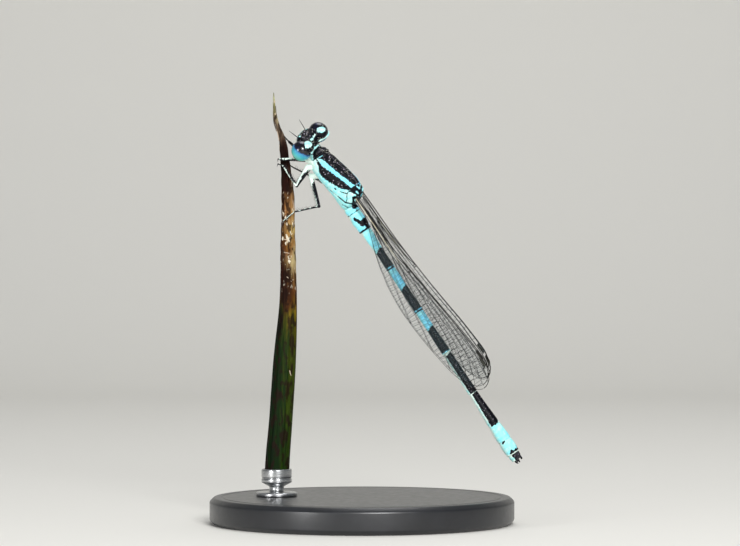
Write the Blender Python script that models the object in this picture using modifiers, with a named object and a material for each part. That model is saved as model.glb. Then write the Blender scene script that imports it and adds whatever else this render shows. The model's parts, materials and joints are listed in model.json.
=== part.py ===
"""A male blue damselfly, life size, gripping a cut rush stem on a small display stand.

Metres, +Z up. The origin is the centre of the base's underside. The animal is modelled in a body
frame: +X to its left, +Y back along the abdomen, +Z to its back, with the origin where the
abdomen's axis meets the thorax. The head has a frame of the same kind, turned on the neck.
"""
import math

import bmesh
import bpy
from mathutils import Matrix, Vector

MM = 0.001

# How the animal is held: the abdomen's slope below level, its roll towards its left side, and
# the head's own slope, roll and nod.
BODY_PLACE = Vector((-0.72, -0.5, 25.57)) * MM
BODY_SLOPE = math.radians(56.5)
BODY_ROLL = math.radians(42.0)
HEAD_PLACE = Vector((-4.26, -0.78, 31.30)) * MM
HEAD_AXIS = Vector((0.523, 0.590, 0.615))
HEAD_NOD = math.radians(30.0)

THIN_CUT = 0.05 * MM
SIDES = 16
FINE_SIDES = 20

# Head, in its own frame.
EYE_SIZE = Vector((0.80, 0.83, 0.87)) * MM
EYE_OUT = 1.30 * MM
HEAD_SECTIONS = (  # left, back, up, half depth, half height
    (0.00, -0.25, -0.08, 0.84, 0.80),
    (0.37, -0.22, -0.07, 0.83, 0.80),
    (0.78, -0.08, -0.02, 0.69, 0.71),
    (1.12, 0.03, 0.00, 0.54, 0.58),
    (1.34, 0.06, 0.00, 0.36, 0.40),
)
FACE_PLACE = Vector((0.0, -0.74, -0.50)) * MM
FACE_SIZE = Vector((0.58, 0.46, 0.42)) * MM
FEELER_RADIUS = 0.25 * MM
FEELER_PATH = ((0.36, -0.70, 0.34), (0.58, -1.00, 0.70), (0.85, -1.75, 1.45))

# Thorax: back, up, half width, half height and keel of each section, in the body frame.
PRONOTUM_SECTIONS = (
    (-6.22, 0.34, 0.26, 0.26, 0.0),
    (-6.08, 0.34, 0.34, 0.34, 0.0),
    (-6.00, 0.33, 0.56, 0.55, 0.0),
    (-5.82, 0.31, 0.61, 0.62, 0.1),
    (-5.62, 0.33, 0.71, 0.79, 0.1),
    (-5.42, 0.37, 0.79, 0.91, 0.1),
    (-5.26, 0.39, 0.76, 0.88, 0.0),
)
THORAX_SECTIONS = (
    (-5.20, 0.34, 0.60, 0.78, 0.05),
    (-5.02, 0.30, 0.80, 1.00, 0.08),
    (-4.70, 0.31, 0.96, 1.17, 0.10),
    (-4.20, 0.41, 1.05, 1.21, 0.12),
    (-3.60, 0.57, 1.11, 1.28, 0.14),
    (-2.80, 0.76, 1.14, 1.35, 0.15),
    (-2.00, 0.92, 1.11, 1.38, 0.15),
    (-1.35, 0.87, 0.99, 1.38, 0.12),
    (-0.92, 0.75, 0.90, 1.29, 0.08),
    (-0.68, 0.55, 0.80, 1.06, 0.05),
    (-0.58, 0.45, 0.70, 0.90, 0.0),
)

# Abdomen: where each segment starts and its radius at the front, middle and rear.
ABDOMEN = (
    ("abdomen_s1", -0.52, 0.56, 0.60, 0.60),
    ("abdomen_s2", 0.15, 0.58, 0.61, 0.52),
    ("abdomen_s3", 1.84, 0.44, 0.345, 0.37),
    ("abdomen_s4", 5.63, 0.34, 0.335, 0.365),
    ("abdomen_s5", 9.80, 0.34, 0.340, 0.375),
    ("abdomen_s6", 13.95, 0.35, 0.360, 0.390),
    ("abdomen_s7", 17.77, 0.37, 0.410, 0.475),
    ("abdomen_s8", 20.95, 0.50, 0.560, 0.585),
    ("abdomen_s9", 22.44, 0.58, 0.610, 0.570),
    ("abdomen_s10", 23.75, 0.50, 0.490, 0.430),
)
ABDOMEN_END = 24.33
CLASPER_RADIUS = 0.17
CLASPER_REACH = 0.50
CLASPER_OUT = 0.21
CLASPER_LIFT = 0.06
CLASPER_ROOT = 0.08
CLASPER_SHAPE = ((0.0, 1.0), (0.35, 1.0), (0.8, 0.8), (1.0, 0.45))  # along, and the share of the radius there
SEGMENT_LIP = 0.10

# Wings: a straight front edge, a stalk at the root and a rounded tip, closed over the back.
WING_THICK = 0.5 * MM
STALK_WIDTH = 0.5
WING_CHORD = 3.45
STALK_END = 0.12
FULL_CHORD = 0.66
TIP_START = 0.84
TIP_DROP = 1.25
WING_SPREAD = math.radians(7.0)
WINGS = (  # length, rise above the abdomen, and the root's left, back and up
    ("forewing", 18.1, math.radians(7.0), 0.86, -0.52, 1.66),
    ("hindwing", 18.0, math.radians(8.5), 0.27, -0.52, 1.58),
)

# Legs, in millimetres from the base's centre: body end, knee, ankle and claws.
LEG_RADIUS = 0.25 * MM
LEGS = {
    "leg_fore_left": ((-4.50, -0.38, 29.82), (-5.50, -0.56, 29.86), (-6.68, -0.26, 29.87),
                      (-7.10, 0.52, 30.00)),
    "leg_mid_left": ((-4.48, -0.28, 29.21), (-5.34, -0.80, 27.68), (-6.46, -0.36, 29.29),
                     (-7.12, 0.34, 29.38)),
    "leg_hind_left": ((-4.18, 0.00, 28.45), (-3.52, -1.05, 26.00), (-5.52, -0.62, 25.55),
                      (-6.45, -0.42, 24.80)),
    "leg_fore_right": ((-4.15, 0.62, 30.25), (-5.02, 1.50, 30.50), (-6.00, 1.06, 31.35),
                       (-6.42, 0.96, 31.80)),
    "leg_mid_right": ((-4.20, 0.86, 29.38), (-5.42, 1.90, 27.78), (-6.22, 1.40, 28.86),
                      (-6.38, 1.32, 28.02)),
    "leg_hind_right": ((-3.55, 0.98, 28.91), (-3.35, 3.00, 28.12), (-5.65, 1.62, 29.25),
                       (-6.34, 1.20, 29.70)),
}

# Rush stem, in millimetres: height, place across and radius.
STEM_DEPTH = 0.5
STEM_STATIONS = (
    (35.40, -7.27, 0.09), (33.30, -7.17, 0.14), (32.75, -6.98, 0.16), (31.95, -6.67, 0.235),
    (29.91, -6.35, 0.37), (27.75, -6.15, 0.48), (22.75, -6.09, 0.61), (18.10, -6.08, 0.72),
    (13.85, -6.34, 0.91), (8.35, -6.70, 0.94), (4.85, -6.97, 0.97), (3.60, -7.02, 0.97),
)

# Stand.
BASE_RADIUS = 12.5
BASE_THICK = 2.2
BASE_EDGE = 0.35
ROD_RADIUS = 0.60
FOOT_RADIUS = 1.70
FOOT_THICK = 0.30
CUP_RADIUS = 1.25
CUP_TOP = 4.45
CUP_FLOOR = 3.55
BASE_SIDES = 48

COLOURS = {  # red, green, blue, metallic, roughness
    "blue_shell": (0.10, 0.52, 0.72, 0.0, 0.45),
    "dark_shell": (0.012, 0.012, 0.018, 0.0, 0.4),
    "compound_eye": (0.03, 0.20, 0.36, 0.0, 0.12),
    "leg_shell": (0.03, 0.03, 0.035, 0.0, 0.5),
    "wing_membrane": (0.35, 0.34, 0.28, 0.0, 0.3),
    "rush": (0.09, 0.11, 0.03, 0.0, 0.6),
    "steel": (0.56, 0.56, 0.57, 1.0, 0.3),
    "base_enamel": (0.02, 0.02, 0.022, 0.0, 0.35),
}


def material(name):
    """A Principled material from the table of colours."""
    mat = bpy.data.materials.get(name)
    if mat is None:
        red, green, blue, metallic, rough = COLOURS[name]
        mat = bpy.data.materials.new(name)
        mat.use_nodes = True
        shader = mat.node_tree.nodes["Principled BSDF"]
        shader.inputs["Base Color"].default_value = (red, green, blue, 1.0)
        shader.inputs["Metallic"].default_value = metallic
        shader.inputs["Roughness"].default_value = rough
        mat.diffuse_color = (red, green, blue, 1.0)
    return mat


def add_object(name, mesh, finish, parent=None):
    """Put a finished mesh in the animal's collection, under its frame."""
    obj = bpy.data.objects.new(name, mesh)
    mesh.materials.append(material(finish))
    model.objects.link(obj)
    obj.parent = parent
    return obj


def mesh_from(name, bm, smooth_angle=math.radians(40.0)):
    """A named mesh from a bmesh, its faces turned outwards and its round sides smooth."""
    bmesh.ops.recalc_face_normals(bm, faces=bm.faces)
    mesh = bpy.data.meshes.new(name)
    bm.to_mesh(mesh)
    bm.free()
    mesh.shade_smooth()
    mesh.set_sharp_from_angle(angle=smooth_angle)
    return mesh


def frame_empty(name, place, axes):
    """An empty that carries the frame whose X, Y and Z axes are given."""
    empty = bpy.data.objects.new(name, None)
    model.objects.link(empty)
    turn = Matrix(axes).transposed().to_4x4()
    empty.matrix_world = Matrix.Translation(place) @ turn
    return empty


def body_axes():
    """Left, back and dorsal directions of the body."""
    back = Vector((math.cos(BODY_SLOPE), 0.0, -math.sin(BODY_SLOPE)))
    across = Vector((math.sin(BODY_SLOPE), 0.0, math.cos(BODY_SLOPE)))
    viewer = Vector((0.0, -1.0, 0.0))
    up = math.cos(BODY_ROLL) * viewer + math.sin(BODY_ROLL) * across
    return up.cross(back) * -1.0, back, up


def head_axes():
    """Left, back and dorsal directions of the head, from the line through its eyes."""
    right = HEAD_AXIS.normalized()
    viewer = Vector((0.0, -1.0, 0.0))
    level = (viewer - viewer.dot(right) * right).normalized()
    tilt = right.cross(level) * -1.0
    up = math.cos(HEAD_NOD) * level + math.sin(HEAD_NOD) * tilt
    back = up.cross(-right)
    return -right, back, up


def loft(name, rings):
    """A closed mesh through rings of points that all have one length."""
    bm = bmesh.new()
    loops = [[bm.verts.new(point) for point in ring] for ring in rings]
    count = len(rings[0])
    for first, second in zip(loops, loops[1:]):
        for index in range(count):
            after = (index + 1) % count
            bm.faces.new((first[index], first[after], second[after], second[index]))
    bm.faces.new(loops[0])
    bm.faces.new(loops[-1])
    return mesh_from(name, bm)


def egg_ring(back, up, width, height, keel, sides):
    """A body section: an ellipse that a keel narrows towards the back of the animal."""
    ring = []
    for index in range(sides):
        angle = 2.0 * math.pi * index / sides
        narrow = 1.0 - keel * math.sin(angle)
        ring.append(Vector((width * math.cos(angle) * narrow, back,
                            up + height * math.sin(angle))) * MM)
    return ring


def ellipsoid(name, place, size, segments, rows):
    """A sphere stretched to the given half sizes."""
    bm = bmesh.new()
    bmesh.ops.create_uvsphere(bm, u_segments=segments, v_segments=rows, radius=1.0)
    bmesh.ops.scale(bm, vec=size, verts=bm.verts)
    bmesh.ops.translate(bm, vec=place, verts=bm.verts)
    return mesh_from(name, bm)


def tube(name, points, radii, resolution=2):
    """A welded tube along a path, with a radius at each point and closed ends."""
    curve = bpy.data.curves.new(name, "CURVE")
    curve.dimensions = "3D"
    curve.bevel_depth = 1.0
    curve.bevel_resolution = resolution
    curve.use_fill_caps = True
    spline = curve.splines.new("POLY")
    spline.points.add(len(points) - 1)
    for knot, point, radius in zip(spline.points, points, radii):
        knot.co = (*point, 1.0)
        knot.radius = radius
    return welded(name, curve)


def welded(name, curve):
    """The closed mesh of a curve, its caps joined to its sides."""
    guide = bpy.data.objects.new(name + "_guide", curve)
    model.objects.link(guide)
    bpy.context.view_layer.update()
    solid = bpy.data.meshes.new_from_object(guide.evaluated_get(bpy.context.evaluated_depsgraph_get()))
    bm = bmesh.new()
    bm.from_mesh(solid)
    bmesh.ops.remove_doubles(bm, verts=bm.verts, dist=1e-7)
    bpy.data.objects.remove(guide)
    bpy.data.curves.remove(curve)
    bpy.data.meshes.remove(solid)
    return mesh_from(name, bm)


def rounded_path(start, end, radius):
    """Points and radii of a straight limb: a narrow start, for the joint, and a ball at its end."""
    way = (end - start).normalized()
    ball = ((0.0, 1.0), (0.6, 0.8), (1.0, 0.35))
    points = [start, start + way * radius * 1.3]
    points += [end + way * radius * along for along, _ in ball]
    return points, [radius * 0.55, radius] + [radius * share for _, share in ball]


def turned(name, profile, finish, sides, parent=None):
    """A profile of (radius, height) pairs, top to bottom, turned about Z."""
    bm = bmesh.new()
    verts = [bm.verts.new((radius * MM, 0.0, height * MM)) for radius, height in profile]
    for first, second in zip(verts, verts[1:]):
        bm.edges.new((first, second))
    mesh = bpy.data.meshes.new(name)
    bm.to_mesh(mesh)
    bm.free()
    obj = add_object(name, mesh, finish, parent)
    screw = obj.modifiers.new("turn", "SCREW")
    screw.steps = sides
    screw.render_steps = sides
    screw.use_merge_vertices = True
    screw.merge_threshold = 1e-6
    screw.use_smooth_shade = True
    return obj


def carve(target, tool, gap=THIN_CUT):
    """Cut the target with a copy of its neighbour that is larger by the gap."""
    bm = bmesh.new()
    bm.from_mesh(tool.data)
    bm.normal_update()
    shifts = [vert.normal * gap for vert in bm.verts]
    for vert, shift in zip(bm.verts, shifts):
        vert.co += shift
    mesh = bpy.data.meshes.new("cut_" + tool.name)
    bm.to_mesh(mesh)
    bm.free()
    cutter = bpy.data.objects.new("cut_" + target.name + "_" + tool.name, mesh)
    cutters.objects.link(cutter)
    cutter.parent = tool.parent
    cutter.hide_render = True
    cutter.display_type = "WIRE"
    boolean = target.modifiers.new("clear_" + tool.name, "BOOLEAN")
    boolean.operation = "DIFFERENCE"
    boolean.solver = "EXACT"
    boolean.object = cutter


def make_head(frame):
    """Head capsule, face, eyes and feelers."""
    mirrored = [(-left, *rest) for left, *rest in reversed(HEAD_SECTIONS[1:])]
    rings = []
    for left, back, up, depth, height in (*mirrored, *HEAD_SECTIONS):
        ring = []
        for index in range(FINE_SIDES):
            angle = 2.0 * math.pi * index / FINE_SIDES
            ring.append(Vector((left, back + depth * math.cos(angle),
                                up + height * math.sin(angle))) * MM)
        rings.append(ring)
    head = add_object("head", loft("head", rings), "dark_shell", frame)
    eyes = []
    face = add_object("face", ellipsoid("face", FACE_PLACE, FACE_SIZE, 14, 8), "blue_shell", frame)
    carve(face, head)
    for side, sign in (("left", 1.0), ("right", -1.0)):
        place = Vector((sign * EYE_OUT, 0.0, 0.0))
        eye = add_object("eye_" + side, ellipsoid("eye_" + side, place, EYE_SIZE, 18, 11),
                         "compound_eye", frame)
        carve(head, eye)
        eyes.append(eye)
        path = [Vector((sign * left, back, up)) * MM for left, back, up in FEELER_PATH]
        radii = [FEELER_RADIUS] * len(path)
        name = "antenna_" + side
        feeler = add_object(name, tube(name, path, radii, 1), "leg_shell", frame)
        carve(feeler, head)
    return head, eyes


def make_thorax(frame, head, eyes):
    """Prothorax, with the neck, and the winged part of the thorax."""
    rings = [egg_ring(*section, SIDES) for section in PRONOTUM_SECTIONS]
    prothorax = add_object("prothorax", loft("prothorax", rings), "dark_shell", frame)
    for neighbour in (head, *eyes):
        carve(prothorax, neighbour)
    rings = [egg_ring(*section, FINE_SIDES) for section in THORAX_SECTIONS]
    return prothorax, add_object("synthorax", loft("synthorax", rings), "blue_shell", frame)


def make_abdomen(axis):
    """Ten turned segments, each a thin cut from the next, and the claspers."""
    starts = [segment[1] for segment in ABDOMEN] + [ABDOMEN_END]
    half_cut = THIN_CUT / MM / 2.0
    for (name, start, front, middle, rear), end in zip(ABDOMEN, starts[1:]):
        length = end - start
        profile = [
            (0.0, end - half_cut), (rear * 0.90, end - half_cut), (rear, end - min(SEGMENT_LIP, length * 0.15)),
            (rear * 0.97 + middle * 0.03, start + length * 0.80), (middle, start + length * 0.45),
            (front * 0.95 + middle * 0.05, start + length * 0.12), (front * 0.90, start + half_cut),
            (0.0, start + half_cut),
        ]
        turned(name, profile, "blue_shell", SIDES, axis)


def make_claspers(frame):
    """The pair of short upper claspers, joined by the plate they grow from."""
    rings = []
    for share, width in CLASPER_SHAPE:
        back = ABDOMEN_END + 0.5 * THIN_CUT / MM + CLASPER_REACH * share
        ring = []
        for index in range(SIDES):
            angle = 2.0 * math.pi * index / SIDES
            across = (CLASPER_RADIUS * width + CLASPER_OUT) * math.cos(angle)
            swell = 0.3 * CLASPER_OUT * abs(math.cos(angle)) * share
            height = (CLASPER_RADIUS * width + CLASPER_ROOT * (1.0 - share) + swell) * math.sin(angle)
            ring.append(Vector((across, back, height + CLASPER_LIFT)) * MM)
        rings.append(ring)
    add_object("claspers", loft("claspers", rings), "dark_shell", frame)


def wing_outline(length):
    """Points round a wing in millimetres: along it, and from its front edge to its rear edge."""
    count = 13
    lead = []
    trail = []
    for index in range(count + 1):
        share = math.sin(0.5 * math.pi * index / count)
        late = max(0.0, (share - TIP_START) / (1.0 - TIP_START))
        drop = TIP_DROP * (1.0 - math.sqrt(max(0.0, 1.0 - late * late)))
        lead.append((length * share, drop))
        grow = min(1.0, max(0.0, (share - STALK_END) / (FULL_CHORD - STALK_END)))
        chord = STALK_WIDTH + (WING_CHORD - STALK_WIDTH) * math.sin(0.5 * math.pi * grow) ** 1.15
        past = max(0.0, (share - FULL_CHORD) / (1.0 - FULL_CHORD))
        chord = TIP_DROP + (chord - TIP_DROP) * max(0.0, 1.0 - past ** 2.4) ** 0.5
        trail.append((length * share, chord))
    trail[0] = (0.0, STALK_WIDTH)
    return lead + trail[-2::-1]


def make_wings(frame):
    """Two pairs of flat wings, closed over the back on either side of the abdomen."""
    for pair, length, rise, out, back, up in WINGS:
        for side, sign in (("left", 1.0), ("right", -1.0)):
            name = pair + "_" + side
            curve = bpy.data.curves.new(name, "CURVE")
            curve.dimensions = "2D"
            curve.fill_mode = "BOTH"
            curve.extrude = WING_THICK / 2.0
            outline = wing_outline(length)
            spline = curve.splines.new("POLY")
            spline.points.add(len(outline) - 1)
            spline.use_cyclic_u = True
            for knot, (along, across) in zip(spline.points, outline):
                knot.co = (along * MM, across * MM, 0.0, 1.0)
            mesh = welded(name, curve)
            span = Vector((0.0, math.cos(rise), math.sin(rise)))
            down = Vector((sign * math.sin(WING_SPREAD), 0.0, -math.cos(WING_SPREAD)))
            down = (down - down.dot(span) * span).normalized()
            turn = Matrix((span, down, span.cross(down))).transposed().to_4x4()
            mesh.transform(Matrix.Translation(Vector((sign * out, back, up)) * MM) @ turn)
            add_object(name, mesh, "wing_membrane", frame)


def make_legs(thorax, prothorax):
    """Six legs of femur, tibia and tarsus, each cut clear of the piece before it."""
    for name, spots in LEGS.items():
        joints = [Vector(spot) * MM for spot in spots]
        before = prothorax if "fore" in name else thorax
        for part, start, end in zip(("femur", "tibia", "tarsus"), joints, joints[1:]):
            points, radii = rounded_path(start, end, LEG_RADIUS)
            full = name + "_" + part
            piece = add_object(full, tube(full, points, radii, 1), "leg_shell")
            carve(piece, before)
            if "fore" in name and part == "femur":
                carve(piece, thorax)
            before = piece


def make_stem():
    """The cut rush stem that the legs hold."""
    path = [Vector((across, STEM_DEPTH, height)) * MM for height, across, _ in STEM_STATIONS]
    radii = [radius * MM for _, _, radius in STEM_STATIONS]
    add_object("perch_stem", tube("perch_stem", path, radii, 3), "rush")


def make_stand():
    """A round base, and a rod whose cup takes the stem's cut end."""
    edge = BASE_RADIUS - BASE_EDGE
    turned("stand_base", [(0.0, BASE_THICK), (edge, BASE_THICK), (BASE_RADIUS, BASE_THICK - BASE_EDGE),
                          (BASE_RADIUS, BASE_EDGE), (edge, 0.0), (0.0, 0.0)], "base_enamel", BASE_SIDES)
    foot = BASE_THICK + THIN_CUT / MM
    _, _, stem_radius = STEM_STATIONS[-1]
    inner = stem_radius + THIN_CUT / MM
    rod = turned("stand_rod", [(0.0, CUP_FLOOR), (inner, CUP_FLOOR), (inner, CUP_TOP), (CUP_RADIUS, CUP_TOP),
                               (CUP_RADIUS, CUP_FLOOR - 0.2), (ROD_RADIUS, CUP_FLOOR - 0.55),
                               (ROD_RADIUS, foot + FOOT_THICK), (FOOT_RADIUS, foot + FOOT_THICK),
                               (FOOT_RADIUS, foot), (0.0, foot)], "steel", FINE_SIDES)
    rod.location = Vector((STEM_STATIONS[-1][1], STEM_DEPTH, 0.0)) * MM


for old in list(bpy.data.objects):
    bpy.data.objects.remove(old)
model = bpy.data.collections.new("damselfly")
cutters = bpy.data.collections.new("cutters")
bpy.context.scene.collection.children.link(model)
bpy.context.scene.collection.children.link(cutters)

body = frame_empty("body_frame", BODY_PLACE, body_axes())
skull = frame_empty("head_frame", HEAD_PLACE, head_axes())
tail = bpy.data.objects.new("abdomen_axis", None)
model.objects.link(tail)
tail.parent = body
tail.rotation_euler = (-math.pi / 2.0, 0.0, 0.0)

head_piece, eye_pieces = make_head(skull)
front, trunk = make_thorax(body, head_piece, eye_pieces)
make_abdomen(tail)
make_claspers(body)
make_wings(body)
make_legs(trunk, front)
make_stem()
make_stand()
bpy.context.view_layer.update()
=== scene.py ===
import json
import math

import bmesh
import bpy
import numpy as np
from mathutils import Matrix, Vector

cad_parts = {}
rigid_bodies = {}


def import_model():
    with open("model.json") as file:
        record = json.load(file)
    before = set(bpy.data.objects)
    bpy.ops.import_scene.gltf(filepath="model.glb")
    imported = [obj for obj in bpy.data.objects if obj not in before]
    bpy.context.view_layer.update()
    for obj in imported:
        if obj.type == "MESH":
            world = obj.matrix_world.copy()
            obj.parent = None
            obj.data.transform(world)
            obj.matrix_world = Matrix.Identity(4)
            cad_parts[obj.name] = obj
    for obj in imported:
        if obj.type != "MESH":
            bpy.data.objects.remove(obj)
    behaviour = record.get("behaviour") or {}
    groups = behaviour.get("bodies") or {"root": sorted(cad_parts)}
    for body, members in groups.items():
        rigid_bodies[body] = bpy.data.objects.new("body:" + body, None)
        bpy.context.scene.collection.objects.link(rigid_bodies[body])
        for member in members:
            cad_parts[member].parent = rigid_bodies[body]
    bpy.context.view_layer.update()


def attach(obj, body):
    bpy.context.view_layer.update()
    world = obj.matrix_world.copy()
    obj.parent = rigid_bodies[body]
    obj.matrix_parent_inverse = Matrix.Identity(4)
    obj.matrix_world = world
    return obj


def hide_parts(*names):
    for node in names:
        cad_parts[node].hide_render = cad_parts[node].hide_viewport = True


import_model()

# A life-size male damselfly on a cut rush stem, held by a small display stand.
# Lengths are in millimetres and turn to metres as a mesh is made.

mm = 0.001

pose = {  # how the animal is held, the same as its solids in the frame
    "bodyPlace": (-0.72, -0.50, 25.57),
    "bodySlope": 56.5,  # degrees below level
    "bodyRoll": 42.0,  # degrees towards its left side
    "headPlace": (-4.26, -0.78, 31.30),
    "eyeLine": (0.523, 0.590, 0.615),  # from the left eye to the right one
    "headNod": 30.0,
}


# Helpers: frames, curves, marks and meshes

def unit(vector):
    return np.asarray(vector, dtype=float) / np.linalg.norm(vector)


def bodyFrame():
    slope = math.radians(pose["bodySlope"])
    roll = math.radians(pose["bodyRoll"])
    back = np.array((math.cos(slope), 0.0, -math.sin(slope)))
    across = np.array((math.sin(slope), 0.0, math.cos(slope)))
    up = math.cos(roll) * np.array((0.0, -1.0, 0.0)) + math.sin(roll) * across
    return np.array(pose["bodyPlace"]), np.array((np.cross(back, up), back, up))


def headFrame():
    right = unit(pose["eyeLine"])
    viewer = np.array((0.0, -1.0, 0.0))
    level = unit(viewer - viewer.dot(right) * right)
    nod = math.radians(pose["headNod"])
    up = math.cos(nod) * level - math.sin(nod) * np.cross(right, level)
    return np.array(pose["headPlace"]), np.array((-right, np.cross(up, -right), up))


bodyPlace, bodyAxes = bodyFrame()
headPlace, headAxes = headFrame()


def inBody(points):
    # from (left, back, up) of the body
    return bodyPlace + np.asarray(points) @ bodyAxes


def inHead(points):
    return headPlace + np.asarray(points) @ headAxes


def rolledHeight(left, up):
    # height square to the body's axis as the rolled animal lies, the same on both of its sides
    roll = math.radians(pose["bodyRoll"])
    return math.sin(roll) * up - math.cos(roll) * np.abs(left)


def fullTurn(sides):
    return np.linspace(0.0, 2.0 * np.pi, sides, endpoint=False)


def signedTurn(turn):
    # the same turn counted both ways from its start, below 0 on the far side
    return np.where(turn > np.pi, turn - 2.0 * np.pi, turn)


def smooth(low, high, value):
    share = np.clip((value - low) / (high - low), 0.0, 1.0)
    return share * share * (3.0 - 2.0 * share)


def bump(value, centre, width):
    return np.exp(-((value - centre) / width) ** 2)


def band(value, low, high):
    return np.minimum(value - low, high - value)


def stroke(x, y, start, end, half):
    # how far inside a round-ended line a point lies
    way = np.subtract(end, start)
    size = max(float(way @ way), 1e-9)
    along = np.clip(((x - start[0]) * way[0] + (y - start[1]) * way[1]) / size, 0.0, 1.0)
    return half - np.hypot(x - start[0] - along * way[0], y - start[1] - along * way[1])


def through(stations, at):
    # a smooth curve through rows of (place, value, ...), read at each place
    rows = np.array(stations, dtype=float)
    places, values = rows[:, 0], rows[:, 1:]
    slopes = np.gradient(values, places, axis=0)
    at = np.clip(np.atleast_1d(at).astype(float), places[0], places[-1])
    cell = np.clip(np.searchsorted(places, at, side="right") - 1, 0, len(places) - 2)
    span = (places[cell + 1] - places[cell])[:, None]
    s = (at - places[cell])[:, None] / span
    return ((2 * s ** 3 - 3 * s ** 2 + 1) * values[cell]
            + (s ** 3 - 2 * s ** 2 + s) * span * slopes[cell]
            + (3 * s ** 2 - 2 * s ** 3) * values[cell + 1]
            + (s ** 3 - s ** 2) * span * slopes[cell + 1])


def ringSkin(points, **marks):
    # a closed skin through rings of points, each end closed by a fan; a mark may be a single value
    rows, cols = points.shape[:2]
    index = np.arange(rows * cols).reshape(rows, cols)
    after = np.roll(index, -1, axis=1)
    faces = np.stack((index[:-1], after[:-1], after[1:], index[1:]), -1).reshape(-1, 4).tolist()
    column, row = np.meshgrid(np.arange(cols), np.arange(rows - 1))
    corners = np.stack((column, row, column + 1, row, column + 1, row + 1, column, row + 1), -1)
    uvs = [corners.reshape(-1, 2) / (cols, rows - 1)]
    verts = [points.reshape(-1, 3)]
    values = {name: [(np.zeros((rows, cols)) + mark).ravel()] for name, mark in marks.items()}
    for end, ring in ((0.0, 0), (1.0, rows - 1)):
        pole = rows * cols + (ring > 0)
        verts.append(points[ring].mean(axis=0)[None])
        for mark in values.values():
            mark.append([mark[0][ring * cols:(ring + 1) * cols].mean()])
        first, second = (index[ring], after[ring]) if ring else (after[ring], index[ring])
        faces += [[int(one), int(two), pole] for one, two in zip(first, second)]
        lip = np.arange(cols)
        ends = (lip, lip + 1) if ring else (lip + 1, lip)
        flat = np.full(cols, end)
        fan = np.stack((ends[0] / cols, flat, ends[1] / cols, flat, (lip + 0.5) / cols, flat), -1)
        uvs.append(fan.reshape(-1, 2))
    marks = {name: np.concatenate(mark) for name, mark in values.items()}
    return np.vstack(verts), faces, marks, np.vstack(uvs)


def mergeSkins(skins):
    verts, faces, marks, uvs = zip(*skins)
    starts = np.cumsum([0] + [len(points) for points in verts]).tolist()
    faces = [[corner + start for corner in side]
             for start, sides in zip(starts, faces) for side in sides]
    marks = {name: np.concatenate([mark[name] for mark in marks]) for name in marks[0]}
    return np.vstack(verts), faces, marks, np.vstack(uvs)


def inScene(name, data):
    made = bpy.data.objects.new(name, data)
    bpy.context.scene.collection.objects.link(made)
    return made


def addMark(mesh, name, values):
    layer = mesh.attributes.new(name, "FLOAT", "POINT")
    layer.data.foreach_set("value", values.astype(np.float32))


def addPiece(name, skin, finish, stands=()):
    # a finished piece, its points given in millimetres
    verts, faces, marks, uvs = skin
    mesh = bpy.data.meshes.new(name)
    mesh.from_pydata((np.asarray(verts) * mm).tolist(), [], faces)
    for mark, values in marks.items():
        addMark(mesh, mark, values)
    mesh.uv_layers.new(name="UVMap").data.foreach_set("uv", uvs.astype(np.float32).ravel())
    work = bmesh.new()
    work.from_mesh(mesh)
    bmesh.ops.recalc_face_normals(work, faces=work.faces)
    work.to_mesh(mesh)
    work.free()
    mesh.shade_smooth()
    return keepPiece(name, mesh, finish, stands)


def keepPiece(name, mesh, finish, stands=()):
    mesh.materials.clear()
    mesh.materials.append(finish)
    piece = inScene(name, mesh)
    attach(piece, "root")
    if stands:
        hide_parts(*stands)
    return piece


def turnedRings(profile, sides, centre=(0.0, 0.0)):
    # a profile of (radius, height), turned about an upright axis
    turn = fullTurn(sides)
    rings = [np.stack((centre[0] + radius * np.cos(turn), centre[1] + radius * np.sin(turn),
                       np.full(sides, height)), -1) for radius, height in profile]
    return np.array(rings)


def tubeRings(path, radii, sides, flat=1.0):
    # rings round a path, carried along it without a twist; flat squeezes them one way
    path = np.asarray(path, dtype=float)
    way = np.gradient(path, axis=0)
    side = np.cross(way[0], (0.31, 0.87, 0.38))
    turn = fullTurn(sides)[:, None]
    rings = []
    for spot, go, radius in zip(path, way, radii):
        go = unit(go)
        side = unit(side - side.dot(go) * go)
        around = np.cos(turn) * side + flat * np.sin(turn) * np.cross(go, side)
        rings.append(spot + radius * around)
    return np.array(rings)


def limbRings(start, end, thick, thin, sides=18, swell=0.0):
    # a straight limb that tapers, with rounded ends
    start, end = np.asarray(start, dtype=float), np.asarray(end, dtype=float)
    length = np.linalg.norm(end - start)
    cap = np.radians(np.linspace(14.0, 90.0, 6))
    share = np.linspace(0.0, 1.0, 18)[1:-1]
    shaft = thick + (thin - thick) * share + swell * np.sin(np.pi * share)
    along = np.concatenate((-thick * np.cos(cap), share * length,
                            length + thin * np.cos(cap[::-1])))
    radii = np.concatenate((thick * np.sin(cap), shaft, thin * np.sin(cap[::-1])))
    return tubeRings(start + along[:, None] * (end - start) / length, radii, sides)


def ellipsoidRings(place, size, rows, sides, axis=0):
    # rings round one axis, from one pole to the other
    lift = np.radians(np.linspace(-87.0, 87.0, rows))[:, None]
    turn = fullTurn(sides)[None, :]
    parts = [np.sin(lift) + 0.0 * turn, np.cos(lift) * np.cos(turn), np.cos(lift) * np.sin(turn)]
    directions = np.stack(parts[-axis:] + parts[:-axis] if axis else parts, -1)
    return np.asarray(place) + directions * size, directions


# Helpers: materials

def linearColour(code):
    parts = [int(code[i:i + 2], 16) / 255 for i in (1, 3, 5)]
    linear = [p / 12.92 if p <= 0.04045 else ((p + 0.055) / 1.055) ** 2.4 for p in parts]
    return (*linear, 1.0)


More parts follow.
